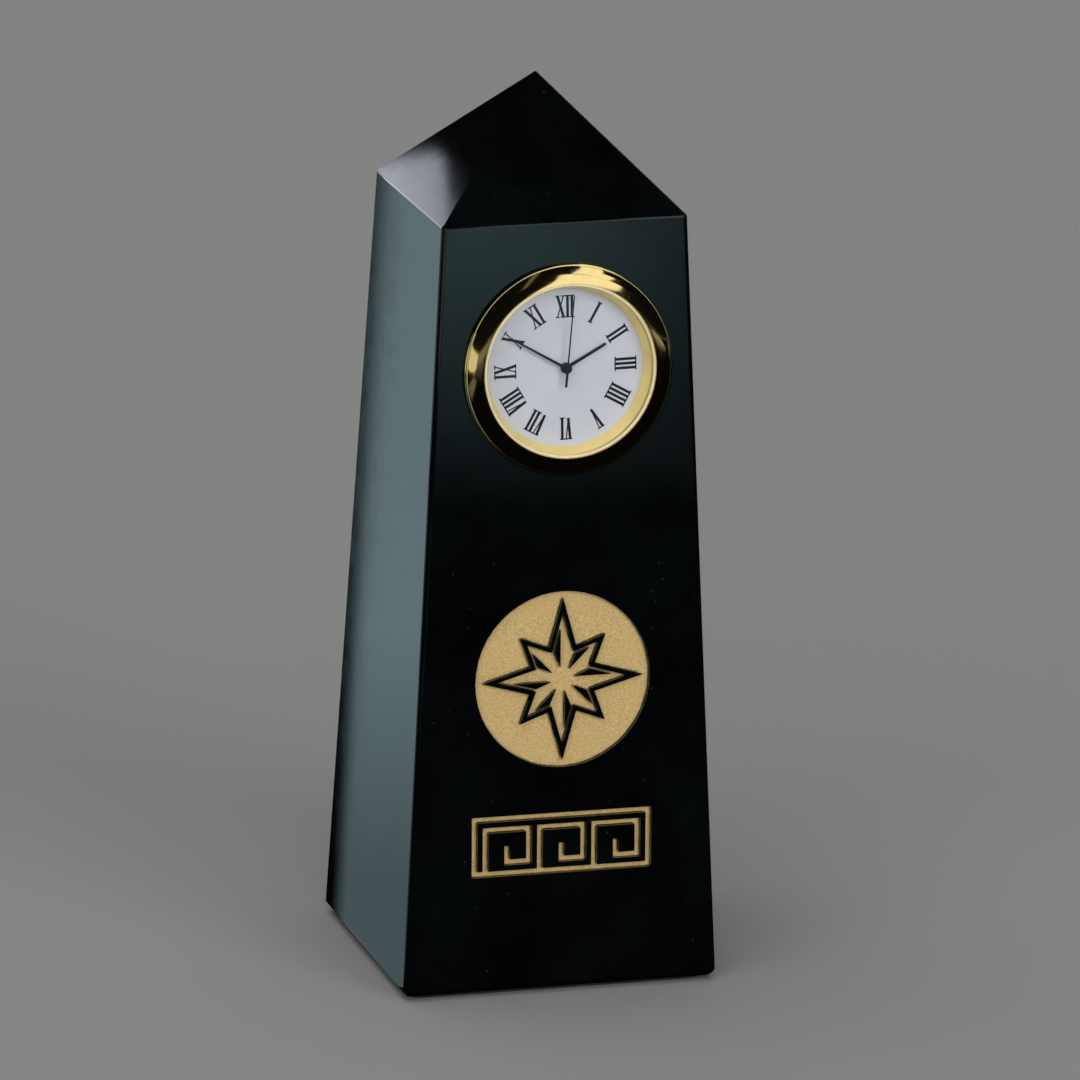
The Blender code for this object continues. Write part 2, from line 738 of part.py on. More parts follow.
def build_plates():
    """The holder ring, the main plate with its pillars and stem block, and the train bridge."""
    along = (0.0, math.pi / 2, 0.0)
    stem_line = (0.0, 0.0, -STEM_DEPTH)
    stem_hole = STEM_RADIUS + FIT_GAP
    holder_top = -DIAL_DEPTH - DIAL_THICKNESS - FIT_GAP
    holder_inner = MOVEMENT_RADIUS + BORE_GAP
    holder_outer = CASE_INNER - BORE_GAP
    holder = turned(
        "movement_holder",
        [
            (holder_outer, holder_top),
            (holder_outer, -HOLDER_DEPTH),
            (holder_inner, -HOLDER_DEPTH),
            (holder_inner, holder_top),
        ],
        CLOCK,
        PLASTIC,
    )
    reach = CASE_INNER + PASS_THROUGH
    cut(holder, rod("holder_stem_hole", stem_hole, MOVEMENT_RADIUS, reach, CLOCK, at=stem_line, turn=along))

    pivot_hole = ARBOR_RADIUS + FIT_GAP
    train = [THIRD_PLACE, INTERMEDIATE_PLACE, ROTOR_PLACE]
    plate_holes = [ring_points(pivot_hole, SMALL_STEPS, spot) for spot in train + [MINUTE_WHEEL_PLACE]]
    plate_holes.append(ring_points(CENTRE_TUBE_RADIUS + FIT_GAP, SMALL_STEPS))
    plate_outlines = [ring_points(MOVEMENT_RADIUS, CASE_STEPS)] + plate_holes
    plate = flat("main_plate", plate_outlines, PLATE_BOTTOM, -PLATE_DEPTH, CLOCK, BRASS)
    sink = PLATE_THICKNESS / 2
    for number, spot in enumerate(SCREW_PLACES, 1):
        pillar = rod(
            f"pillar_{number}", PILLAR_RADIUS, BRIDGE_TOP + FIT_GAP, PLATE_BOTTOM + sink, CLOCK, at=spot
        )
        join(plate, pillar)
    block_bottom = -STEM_DEPTH - 2 * STEM_RADIUS
    block_top = PLATE_BOTTOM + sink
    stem_block = block(
        "stem_block",
        (STEM_BLOCK_LENGTH, STEM_BLOCK_WIDTH, block_top - block_bottom),
        (STEM_BLOCK_X + STEM_BLOCK_LENGTH / 2, 0.0, (block_bottom + block_top) / 2),
        CLOCK,
    )
    join(plate, stem_block)
    block_end = STEM_BLOCK_X + STEM_BLOCK_LENGTH + PASS_THROUGH
    inner_end = STEM_BLOCK_X - PASS_THROUGH
    cut(plate, rod("block_stem_hole", stem_hole, inner_end, block_end, CLOCK, at=stem_line, turn=along))

    bridge_outline = [
        (BRIDGE_LEFT, BRIDGE_LEFT_FOOT),
        (BRIDGE_FOOT_START, BRIDGE_FOOT),
        (BRIDGE_RIGHT, BRIDGE_FOOT),
        (BRIDGE_RIGHT, BRIDGE_RIGHT_HEAD),
        (BRIDGE_HEAD_SPAN[1], BRIDGE_HEAD),
        (BRIDGE_HEAD_SPAN[0], BRIDGE_HEAD),
        (BRIDGE_LEFT, BRIDGE_LEFT_HEAD),
    ]
    screw_hole = SCREW_RADIUS + FIT_GAP
    bridge_holes = [ring_points(pivot_hole, SMALL_STEPS, spot) for spot in train + [(0.0, 0.0)]]
    bridge_holes += [ring_points(screw_hole, SMALL_STEPS, spot) for spot in SCREW_PLACES]
    bridge_bottom = BRIDGE_TOP - BRIDGE_THICKNESS
    flat("train_bridge", [bridge_outline] + bridge_holes, bridge_bottom, BRIDGE_TOP, CLOCK, STEEL)

    head_bottom = bridge_bottom - FIT_GAP
    screw_top = head_bottom + SCREW_LENGTH
    for number, spot in enumerate(SCREW_PLACES, 1):
        cut(plate, rod(f"screw_hole_{number}", screw_hole, bridge_bottom, screw_top + FIT_GAP, CLOCK, at=spot))
        turned(
            f"bridge_screw_{number}",
            [
                (0.0, screw_top),
                (SCREW_RADIUS, screw_top),
                (SCREW_RADIUS, head_bottom),
                (SCREW_HEAD_RADIUS, head_bottom),
                (SCREW_HEAD_RADIUS, head_bottom - SCREW_HEAD_HEIGHT),
                (0.0, head_bottom - SCREW_HEAD_HEIGHT),
            ],
            CLOCK,
            STEEL,
            at=spot,
            steps=SMALL_STEPS,
            closed=False,
        )


def toothed(name, teeth, module, phase, depth, thickness, spot, finish=None):
    outline = gear_outline(teeth, module, phase)
    return flat(name, [outline], -depth - thickness, -depth, CLOCK, finish, at=spot)


def pinion_depth(wheel_depth):
    """A pinion is a little thicker than its wheel and shares its middle height."""
    return wheel_depth - (PINION_THICKNESS - WHEEL_THICKNESS) / 2


def build_going_train():
    """Rotor, intermediate, seconds, third and centre wheels between the plate and the bridge."""
    low = BRIDGE_TOP - PIVOT_DEPTH
    high = PLATE_BOTTOM + PIVOT_DEPTH
    thick = WHEEL_THICKNESS
    pinion = PINION_THICKNESS

    seconds = toothed(
        "seconds_wheel", SECONDS_TEETH, SECONDS_MODULE, 0.0, SECONDS_WHEEL_DEPTH, thick, (0.0, 0.0), BRASS
    )
    seconds_pinion = toothed(
        "seconds_pinion", PINION_TEETH, THIRD_MODULE, 0.0, pinion_depth(THIRD_WHEEL_DEPTH), pinion, (0.0, 0.0)
    )
    join(seconds, seconds_pinion)
    arbor_top = -SECOND_HAND_DEPTH + PIPE_STAND
    join(seconds, rod("seconds_arbor", ARBOR_RADIUS, low, arbor_top, CLOCK))

    third_phase = meshed_phase(THIRD_BEARING, PINION_TEETH, 0.0, THIRD_TEETH)
    third = toothed(
        "third_wheel", THIRD_TEETH, THIRD_MODULE, third_phase, THIRD_WHEEL_DEPTH, thick, THIRD_PLACE, BRASS
    )
    depth = pinion_depth(CENTRE_WHEEL_DEPTH)
    join(third, toothed("third_pinion", PINION_TEETH, GOING_MODULE, 0.0, depth, pinion, THIRD_PLACE))
    join(third, rod("third_arbor", ARBOR_RADIUS, low, high, CLOCK, at=THIRD_PLACE))

    centre_phase = meshed_phase(THIRD_BEARING + math.pi, PINION_TEETH, 0.0, CENTRE_TEETH)
    centre = toothed(
        "centre_wheel", CENTRE_TEETH, GOING_MODULE, centre_phase, CENTRE_WHEEL_DEPTH, thick, (0.0, 0.0), BRASS
    )
    tube_bottom = -CENTRE_WHEEL_DEPTH - thick - FIT_GAP
    tube_top = -MINUTE_HAND_DEPTH
    join(centre, rod("centre_tube", CENTRE_TUBE_RADIUS, tube_bottom, tube_top, CLOCK))
    cut(centre, rod("centre_bore", CENTRE_BORE, tube_bottom - PASS_THROUGH, 0.0, CLOCK))

    intermediate_phase = 0.0
    pinion_phase = meshed_phase(INTERMEDIATE_BEARING, SECONDS_TEETH, 0.0, PINION_TEETH)
    intermediate = toothed(
        "intermediate_wheel",
        INTERMEDIATE_TEETH,
        GOING_MODULE,
        intermediate_phase,
        INTERMEDIATE_WHEEL_DEPTH,
        thick,
        INTERMEDIATE_PLACE,
        BRASS,
    )
    depth = pinion_depth(SECONDS_WHEEL_DEPTH)
    small = toothed(
        "intermediate_pinion", PINION_TEETH, SECONDS_MODULE, pinion_phase, depth, pinion, INTERMEDIATE_PLACE
    )
    join(intermediate, small)
    join(intermediate, rod("intermediate_arbor", ARBOR_RADIUS, low, high, CLOCK, at=INTERMEDIATE_PLACE))

    rotor_phase = meshed_phase(ROTOR_BEARING, INTERMEDIATE_TEETH, intermediate_phase, PINION_TEETH)
    depth = pinion_depth(INTERMEDIATE_WHEEL_DEPTH)
    rotor = rod("rotor", ROTOR_RADIUS, -ROTOR_DEPTH - ROTOR_HEIGHT, -ROTOR_DEPTH, CLOCK, MAGNET, ROTOR_PLACE)
    join(rotor, toothed("rotor_pinion", PINION_TEETH, GOING_MODULE, rotor_phase, depth, pinion, ROTOR_PLACE))
    join(rotor, rod("rotor_arbor", ARBOR_RADIUS, low, high, CLOCK, at=ROTOR_PLACE))


def build_motion_work():
    """Cannon pinion, minute wheel and hour wheel between the plate and the dial."""
    thick = PINION_THICKNESS
    cannon_low = -MINUTE_WHEEL_DEPTH - thick
    cannon = toothed(
        "cannon_pinion", CANNON_TEETH, CANNON_MODULE, 0.0, MINUTE_WHEEL_DEPTH, thick, (0.0, 0.0), STEEL
    )
    join(cannon, rod("cannon_tube", CANNON_RADIUS, cannon_low + FIT_GAP, -MINUTE_HAND_DEPTH + PIPE_STAND, CLOCK))
    cut(cannon, rod("cannon_bore", CANNON_BORE, cannon_low - PASS_THROUGH, 0.0, CLOCK))

    phase = meshed_phase(MINUTE_WHEEL_BEARING, CANNON_TEETH, 0.0, MINUTE_WHEEL_TEETH)
    minute = toothed(
        "minute_wheel",
        MINUTE_WHEEL_TEETH,
        CANNON_MODULE,
        phase,
        MINUTE_WHEEL_DEPTH,
        WHEEL_THICKNESS,
        MINUTE_WHEEL_PLACE,
        BRASS,
    )
    depth = pinion_depth(HOUR_WHEEL_DEPTH)
    small = toothed(
        "minute_pinion", MINUTE_PINION_TEETH, HOUR_MODULE, 0.0, depth, thick, MINUTE_WHEEL_PLACE
    )
    join(minute, small)
    low = PLATE_BOTTOM + PIVOT_DEPTH
    join(minute, rod("minute_arbor", ARBOR_RADIUS, low, FIT_GAP - depth, CLOCK, at=MINUTE_WHEEL_PLACE))

    phase = meshed_phase(MINUTE_WHEEL_BEARING + math.pi, MINUTE_PINION_TEETH, 0.0, HOUR_WHEEL_TEETH)
    hour = toothed(
        "hour_wheel", HOUR_WHEEL_TEETH, HOUR_MODULE, phase, HOUR_WHEEL_DEPTH, WHEEL_THICKNESS, (0.0, 0.0), BRASS
    )
    pipe_low = -HOUR_WHEEL_DEPTH - WHEEL_THICKNESS + FIT_GAP
    join(hour, rod("hour_pipe", HOUR_PIPE_RADIUS, pipe_low, -HOUR_HAND_DEPTH + PIPE_STAND, CLOCK))
    cut(hour, rod("hour_bore", HOUR_BORE, pipe_low - PASS_THROUGH, 0.0, CLOCK))


def build_motor_and_circuit():
    stator_bottom = -STATOR_DEPTH - STATOR_THICKNESS
    hole_radius = ROTOR_RADIUS + STATOR_GAP
    hub_x, hub_y = ROTOR_PLACE
    left_end = COIL_PLACE[0] - CORE_LENGTH / 2
    right_end = COIL_PLACE[0] + CORE_LENGTH / 2
    foot = COIL_PLACE[1] - CORE_WIDTH / 2
    arm = CORE_WIDTH + STATOR_ARM_MARGIN
    pole = hole_radius + STATOR_POLE_WALL
    neck = STATOR_NECK * pole
    drop = hub_y - STATOR_ARM_DROP * hole_radius
    top_x, top_y = [share * pole for share in STATOR_POLE_TOP]
    stator_outline = [
        (left_end, foot),
        (left_end + arm, foot),
        (left_end + arm, drop),
        (hub_x - neck, drop),
        (hub_x - neck, hub_y - pole),
        (hub_x + neck, hub_y - pole),
        (right_end - arm, drop),
        (right_end - arm, foot),
        (right_end, foot),
        (right_end, hub_y - pole),
        (hub_x + pole, hub_y),
        (hub_x + top_x, hub_y + top_y),
        (hub_x - top_x, hub_y + top_y),
        (hub_x - pole, hub_y),
        (hub_x - pole, hub_y - pole),
        (left_end, hub_y - pole),
    ]
    magnet_hole = ring_points(hole_radius, SMALL_STEPS, ROTOR_PLACE)
    flat("stator", [stator_outline, magnet_hole], stator_bottom, -STATOR_DEPTH, CLOCK, STEEL)

    core_top = stator_bottom - FIT_GAP
    core_height = core_top - CORE_THICKNESS / 2
    block(
        "coil_core",
        (CORE_LENGTH, CORE_WIDTH, CORE_THICKNESS),
        (*COIL_PLACE, core_height),
        CLOCK,
        STEEL,
    )
    bore = math.hypot(CORE_WIDTH, CORE_THICKNESS) / 2 + FIT_GAP
    rings = [ring_points(COIL_RADIUS, SMALL_STEPS), ring_points(bore, SMALL_STEPS)]
    where = (COIL_PLACE[0], COIL_PLACE[1], core_height)
    along = (0.0, math.pi / 2, 0.0)
    flat("coil", rings, -COIL_LENGTH / 2, COIL_LENGTH / 2, CLOCK, COPPER, at=where, turn=along)

    board_top = PLATE_BOTTOM - FIT_GAP
    board_bottom = board_top - BOARD_THICKNESS
    arc = []
    for step in range(ARC_STEPS + 1):
        arc.append(polar(BOARD_RADIUS, math.pi + BOARD_HALF_ANGLE * (2 * step / ARC_STEPS - 1)))
    chord = BOARD_RADIUS * math.sin(BOARD_HALF_ANGLE) * BOARD_CHORD_SHARE
    board = arc + [(BOARD_INNER_X, -chord), (BOARD_INNER_X, chord)]
    flat("circuit_board", [board], board_bottom, board_top, CLOCK, BOARD_GREEN)
    can_at = (*CAN_PLACE, board_bottom - FIT_GAP - CAN_RADIUS)
    lying = (math.pi / 2, 0.0, 0.0)
    rod("quartz_can", CAN_RADIUS, -CAN_LENGTH / 2, CAN_LENGTH / 2, CLOCK, STEEL, can_at, turn=lying)
    chip_top = board_bottom - FIT_GAP
    drop = [(0.0, chip_top)]
    drop += [(CHIP_RADIUS * across, chip_top - CHIP_HEIGHT * down) for across, down in CHIP_DOME]
    turned(
        "control_chip", drop, CLOCK, EPOXY, at=CHIP_PLACE, steps=SMALL_STEPS, closed=False
    )


def build_cell():
    top = PLATE_BOTTOM - BORE_GAP
    bottom = top - CELL_HEIGHT
    turned(
        "button_cell",
        [
            (0.0, top),
            (CELL_RADIUS - 2 * CELL_EDGE, top),
            (CELL_RADIUS, top - CELL_EDGE),
            (CELL_RADIUS, bottom + CELL_EDGE / 2),
            (CELL_RADIUS - CELL_EDGE / 2, bottom),
            (0.0, bottom),
        ],
        CLOCK,
        STEEL,
        at=CELL_PLACE,
        steps=CASE_STEPS // 2,
        closed=False,
    )
    strap_top = bottom - FIT_GAP
    inner = CELL_RADIUS + BORE_GAP
    outer = inner + CLAMP_LEG
    leg_top = PLATE_BOTTOM - FIT_GAP
    section = [
        (-outer, leg_top),
        (-outer, strap_top - CLAMP_THICKNESS),
        (outer, strap_top - CLAMP_THICKNESS),
        (outer, leg_top),
        (inner, leg_top),
        (inner, strap_top),
        (-inner, strap_top),
        (-inner, leg_top),
    ]
    where = (CELL_PLACE[0], CELL_PLACE[1], 0.0)
    standing = (math.pi / 2, 0.0, 0.0)
    flat("cell_clamp", [section], -CLAMP_WIDTH / 2, CLAMP_WIDTH / 2, CLOCK, STEEL, at=where, turn=standing)


def build_setting_work():
    """Crown, stem and the toothed pinion that turns with the stem but stays where it is."""
    along = (0.0, math.pi / 2, 0.0)
    line = (0.0, 0.0, -STEM_DEPTH)
    crown_inner = CASE_INNER + FIT_GAP
    crown_outer = crown_inner + CROWN_LENGTH
    stem_end = crown_inner + CROWN_SOCKET - FIT_GAP
    rod("stem", STEM_RADIUS, STEM_INNER_X, stem_end, CLOCK, STEEL, line, turn=along)
    knurl = []
    for tooth in range(CROWN_TEETH):
        angle = 2 * math.pi * tooth / CROWN_TEETH
        knurl.append(polar(CROWN_RADIUS, angle))
        knurl.append(polar(CROWN_RADIUS - CROWN_KNURL, angle + math.pi / CROWN_TEETH))
    crown = flat("crown", [knurl], crown_inner, crown_outer, CLOCK, GOLD, at=line, turn=along)
    socket = STEM_RADIUS + FIT_GAP
    low = crown_inner - PASS_THROUGH
    cut(crown, rod("crown_socket", socket, low, crown_inner + CROWN_SOCKET, CLOCK, at=line, turn=along))
    teeth = gear_outline(SETTING_PINION_TEETH, SETTING_MODULE)
    bore = ring_points(STEM_RADIUS + FIT_GAP, SMALL_STEPS)
    end = SETTING_PINION_X + SETTING_PINION_LENGTH
    flat("setting_pinion", [teeth, bore], SETTING_PINION_X, end, CLOCK, STEEL, at=line, turn=along)


def build_hand(name, shape, depth, bore, angle, finish, tail=None):
    hand = flat(
        name,
        [hand_outline(*shape, tail=tail), ring_points(bore, SMALL_STEPS)],
        -depth - HAND_THICKNESS,
        -depth,
        CLOCK,
        finish,
    )
    hand.rotation_euler = (0.0, 0.0, angle)


def build_hands():
    build_hand("hour_hand", HOUR_HAND, HOUR_HAND_DEPTH, HOUR_PIPE_RADIUS + FIT_GAP, HOUR_ANGLE, HAND_BLACK)
    build_hand("minute_hand", MINUTE_HAND, MINUTE_HAND_DEPTH, CANNON_RADIUS + FIT_GAP, MINUTE_ANGLE, HAND_BLACK)
    bore = ARBOR_RADIUS + FIT_GAP
    build_hand("second_hand", SECOND_HAND, SECOND_HAND_DEPTH, bore, SECOND_ANGLE, HAND_BLACK, SECOND_TAIL)


clear_scene()
PARTS = make_collection("marble_obelisk_clock")
CUTTERS = make_collection("cutters")

STONE = make_material("polished_black_marble", (0.012, 0.016, 0.017), 0.12)
FELT = make_material("black_felt", (0.02, 0.02, 0.022), 0.95)
GOLD_FILL = make_material("gold_paint_fill", (0.62, 0.42, 0.16), 0.55, 0.3)
GOLD = make_material("polished_gold_plate", (0.9, 0.68, 0.28), 0.12, 1.0)
GLASS = make_material("clear_crystal", (0.9, 0.92, 0.94), 0.05)
NYLON = make_material("white_nylon", (0.7, 0.7, 0.68), 0.5)
DIAL_WHITE = make_material("dial_white", (0.68, 0.68, 0.74), 0.45)
STEEL = make_material("nickel_steel", (0.6, 0.6, 0.6), 0.3, 1.0)
RUBBER = make_material("black_rubber", (0.02, 0.02, 0.02), 0.8)
PLASTIC = make_material("white_plastic", (0.75, 0.75, 0.72), 0.5)
BRASS = make_material("movement_brass", (0.75, 0.58, 0.27), 0.3, 1.0)
MAGNET = make_material("magnet_grey", (0.2, 0.2, 0.21), 0.4, 0.8)
COPPER = make_material("coil_copper", (0.6, 0.25, 0.12), 0.4, 0.8)
BOARD_GREEN = make_material("board_green", (0.03, 0.2, 0.08), 0.4)
EPOXY = make_material("black_epoxy", (0.015, 0.015, 0.015), 0.3)
HAND_BLACK = make_material("hand_black", (0.01, 0.01, 0.01), 0.35)

CLOCK = face_frame("clock_frame", CLOCK_OFFSET_X, CLOCK_HEIGHT)

build_stone(build_ornament())
build_pad()
build_bezel()
build_crystal()
build_dial()
build_case()
build_plates()
build_going_train()
build_motion_work()
build_motor_and_circuit()
build_cell()
build_setting_work()
build_hands()
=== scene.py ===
"""Looks of the marble obelisk clock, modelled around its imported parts.

Metres, +Z up, and angles in degrees where they aren't turned into radians. The dial and the
carved face look along -Y. Turned pieces of the clock are modelled standing at the origin, with
+Z leaving the stone face and height zero on that face, and are then seated in the face.
"""

import json
import math

import bpy
from mathutils import Matrix, Vector


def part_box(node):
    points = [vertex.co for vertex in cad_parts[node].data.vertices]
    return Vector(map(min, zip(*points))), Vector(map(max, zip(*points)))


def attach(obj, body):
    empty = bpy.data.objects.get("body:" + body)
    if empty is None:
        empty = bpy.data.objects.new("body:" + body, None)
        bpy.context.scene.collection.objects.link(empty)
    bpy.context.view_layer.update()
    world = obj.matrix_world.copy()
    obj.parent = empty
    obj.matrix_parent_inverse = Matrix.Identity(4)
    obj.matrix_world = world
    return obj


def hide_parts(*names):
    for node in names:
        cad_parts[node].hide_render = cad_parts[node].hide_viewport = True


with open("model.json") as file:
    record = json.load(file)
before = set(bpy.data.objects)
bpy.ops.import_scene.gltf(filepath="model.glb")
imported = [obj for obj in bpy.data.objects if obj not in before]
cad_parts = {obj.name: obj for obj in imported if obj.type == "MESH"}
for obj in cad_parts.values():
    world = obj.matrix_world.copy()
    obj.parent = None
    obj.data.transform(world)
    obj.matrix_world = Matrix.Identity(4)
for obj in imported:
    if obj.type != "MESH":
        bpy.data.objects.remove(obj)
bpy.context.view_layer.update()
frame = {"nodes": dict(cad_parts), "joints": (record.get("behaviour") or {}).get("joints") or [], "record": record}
NODES = frame["nodes"]
JOINTS = {joint["name"]: joint for joint in frame["joints"]}

# Stone
BASE_WIDTH = 0.055
BASE_DEPTH = 0.053
SHOULDER_WIDTH = 0.0424
SHOULDER_DEPTH = 0.0428
SHOULDER_HEIGHT = 0.1325
TOTAL_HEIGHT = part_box("marble_body")[1].z
FOOT_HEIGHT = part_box("marble_body")[0].z
APEX_OFFSET_X = 0.0005
ARRIS_CHAMFER = 0.00065
FOOT_CHAMFER = 0.0012
SOFT_EDGE = 0.00022
SOFT_EDGE_STEPS = 3
SOFT_EDGE_ANGLE = 12
STONE_SHADE_ANGLE = 25
FLAT_FACE_AREA = 0.00001
FLAT_FACE_TURN = 0.99999

# Felt pad
PAD_CORNER = 0.002
PAD_CORNER_STEPS = 10
PAD_EDGE = 0.00015

# Place of the clock in the front face, and the gap between its parts
CLOCK_HEIGHT = 0.1076
CLOCK_OFFSET_X = 0.0005
BORE_RADIUS = 0.017
BORE_DEPTH = 0.0105
SEAT_GAP = 0.00005

# Carving and its gold filling: each filling's part and its piece
FILLINGS = (
    ("star_fill", "gold_star"),
    ("medallion_fill", "gold_ground"),
    ("key_band_fill", "gold_key"),
)
CARVING_DEPTH = 0.0012
FILL_MIDDLE_DEPTH = 0.00095
PASS_THROUGH = 0.002
FILL_VOXEL = 0.00016
FILL_RELIEF = 0.00007
FILL_GRAIN_SIZE = 0.00045

# Bezel
BEZEL_RADIUS = 0.018
BEZEL_FLANGE = 0.0008
BEZEL_EDGE_ROUND = 0.0002
BEZEL_EDGE_STEPS = 4
FLANGE_GAP = 0.0001
DOME_OUTER = 0.01768
DOME_CREST_RADIUS = 0.01486
DOME_CREST = 0.00198
DOME_FULLNESS = 1.5
DOME_STEPS = 28
RIM_RADIUS = 0.0146
RIM_HALF = 0.00018
RIM_GROOVE = 0.00003
RIM_HEIGHT = 0.00178
RIM_TOP_HEIGHT = 0.00195
RIM_STEPS = 8
LIP_RADIUS = 0.01442
LIP_BOTTOM = 0.0014
LENS_POCKET_RADIUS = 0.0153
SKIRT_OUTER = 0.01595
SKIRT_INNER = 0.01555
SKIRT_DEPTH = 0.0009

# Crystal, reflector and dial
CRYSTAL_RADIUS = 0.01495
CRYSTAL_BOTTOM = 0.00055
CRYSTAL_EDGE_TOP = 0.00135
CRYSTAL_RISE = 0.00012
CRYSTAL_SHOULDER = 0.0003
CRYSTAL_EDGE_DROP = 0.00002
CRYSTAL_STEPS = 12
REFLECTOR_OUTER = 0.0146
REFLECTOR_TOP = 0.00045
REFLECTOR_RIM = 0.0003
REFLECTOR_FOOT = 0.00015
REFLECTOR_CURVE = 1.2
REFLECTOR_STEPS = 8
DIAL_OPENING_RADIUS = 0.0134
DIAL_DEPTH = 0.0016
DIAL_THICKNESS = 0.0004
DIAL_HOLE = 0.0008

# Numerals
NUMERAL_FOOT = 0.0086
NUMERAL_TOP = 0.0122
STROKE = 0.00046
HAIR = 0.0002
SERIF = 0.00021
SERIF_REACH = 0.00012
THIN_SERIF = 4 * HAIR
STROKE_PITCH = 0.00076
V_WIDTH = 0.00135
X_WIDTH = 0.0017
INK_THICKNESS = 0.00002
NUMERAL_TURN = math.radians(1)
NUMERALS = ("XII", "I", "II", "III", "IIII", "V", "VI", "VII", "VIII", "IX", "X", "XI")

# Case
CASE_RADIUS = 0.0155
CASE_WALL = 0.0008
CASE_TOP = 0.00025
CASE_BOTTOM = -0.0079
CASE_EDGE = 0.00015
STEM_DEPTH = 0.0057
CROWN_HOLE_RADIUS = 0.00155
BAND_INNER = 0.01555
BAND_OUTER = 0.0169
BAND_TOP = -0.001
BAND_HEIGHT = 0.003
BAND_RIBS = 4
BAND_RIB_DEPTH = 0.0006
BAND_RIB_ROUND = 0.0001
BAND_RIB_SHARE = 0.42
BAND_RIB_REACH = 80
BAND_RIB_STEPS = 8

# Back cover, and its pressed ring as distance from the rim and depth
COVER_BOTTOM = -0.00835
COVER_GAP = 0.0001
COVER_LIP_WALL = 0.0004
COVER_LIP_HEIGHT = 0.0006
COVER_EDGE_ROUND = 0.0002
COVER_EDGE_STEPS = 5
COVER_RING = ((0.0022, 0.0), (0.0024, 0.00012), (0.0034, 0.00012), (0.0036, 0.0))

# Hands: length, half width at the hub, half width at the tip, hub radius and depth under the face.
# The second hand's tail is its length and half width, and its cap a radius and a rise.
HOUR_HAND = (0.00785, 0.00029, 0.00024, 0.00094, 0.0011)
MINUTE_HAND = (0.0111, 0.00025, 0.00015, 0.00088, 0.0006)
SECOND_HAND = (0.0124, 0.00012, 0.00009, 0.00076, 0.0001)
SECOND_TAIL = (0.0031, 0.0002)
SECOND_CAP = (0.00045, 0.00032)
HAND_THICKNESS = 0.0002
HAND_EDGE_SHARE = 1 / 3
HUB_RISE = 0.00015
HUB_ROUND = 0.00015
CAP_ROUND = 0.00012
HUB_ROUND_STEPS = 4
HOUR_ANGLE = math.radians(-61)
MINUTE_ANGLE = math.radians(60)
SECOND_ANGLE = math.radians(-5)

# Smoothness
ROUND = 160
FINE_ROUND = 48
MERGE = 0.000001
TURNED_SHADE_ANGLE = 40
BAND_SHADE_ANGLE = 50
HAND_SHADE_ANGLE = 35

# Camera, fitted to the photograph's frame
CAMERA_AZIMUTH = math.radians(-16.147)
CAMERA_ELEVATION = math.radians(15.4445)
CAMERA_ROLL = math.radians(0.977)
CAMERA_DISTANCE = 1.586
CAMERA_TARGET = Vector((0.00268, 0.0, 0.07195))
CAMERA_LENS = 311.7
CAMERA_SENSOR = 36.0
CAMERA_REACH = (0.01, 100.0)

# Studio: each lamp's direction, strength and angle in degrees, and the colours of the cards
FLOOR_SIZE = 16.0
FLOOR_GREY = (0.29, 0.29, 0.285, 1.0)
ROOM_TINT = (0.95, 0.98, 1.0, 1.0)
ROOM_LEVEL = 0.004
LAMPS = (
    ("key_sun", (0.4, -0.86, 0.32), 1.1, 26),
    ("fill_sun", (-0.4, -0.85, 0.35), 2.15, 80),
    ("top_sun", (-0.15, 0.1, 0.98), 1.4, 60),
)
WHITE = (1.0, 1.0, 1.0)
WARM_WHITE = (1.0, 0.99, 0.97)
CREAM = (1.0, 0.98, 0.9)
TEAL = (0.66, 0.93, 1.0)
PALE_TEAL = (0.8, 0.93, 1.0)
SKY = Vector((0.0, 0.0, 1.0))

# The front face: its lean, the clock's middle on it, the way out of it and the turn into it
FACE_LEAN = math.atan2((BASE_DEPTH - SHOULDER_DEPTH) / 2, SHOULDER_HEIGHT - FOOT_HEIGHT)
FACE_Y = -BASE_DEPTH / 2 + (CLOCK_HEIGHT - FOOT_HEIGHT) * math.tan(FACE_LEAN)
FACE_POINT = Vector((CLOCK_OFFSET_X, FACE_Y, CLOCK_HEIGHT))
FACE_OUT = -Vector(JOINTS["second_turn"]["axis"]).normalized()
FACE_TURN = Matrix.Rotation(math.pi / 2 - FACE_LEAN, 4, "X")


def start(piece):
    """Make a piece the only selected one."""
    bpy.ops.object.select_all(action="DESELECT")
    piece.select_set(True)
    bpy.context.view_layer.objects.active = piece


def added(name):
    """Name the object that an operator has just added."""
    piece = bpy.context.object
    piece.name = name
    piece.data.name = name
    return piece


def settle(piece):
    """Put a piece's place, turn and scale in its mesh."""
    start(piece)
    bpy.ops.object.transform_apply(location=True, rotation=True, scale=True)
    return piece


def pick_points(piece, test):
    """Select the points that pass a test, and stay in edit mode."""
    start(piece)
    bpy.ops.object.mode_set(mode="EDIT")
    bpy.ops.mesh.select_mode(type="VERT")
    bpy.ops.mesh.select_all(action="DESELECT")
    bpy.ops.object.mode_set(mode="OBJECT")
    for point in piece.data.vertices:
        point.select = test(point.co)
    bpy.ops.object.mode_set(mode="EDIT")


def pick_edges(piece, test):
    """Select the edges whose two ends pass a test, and stay in edit mode."""
    start(piece)
    bpy.ops.object.mode_set(mode="EDIT")
    bpy.ops.mesh.select_mode(type="EDGE")
    bpy.ops.mesh.select_all(action="DESELECT")
    bpy.ops.object.mode_set(mode="OBJECT")
    points = piece.data.vertices
    for edge in piece.data.edges:
        first, second = [points[index].co for index in edge.vertices]
        edge.select = test(first, second)
    bpy.ops.object.mode_set(mode="EDIT")


def stop_editing():
    """Leave edit mode."""
    bpy.ops.object.mode_set(mode="OBJECT")


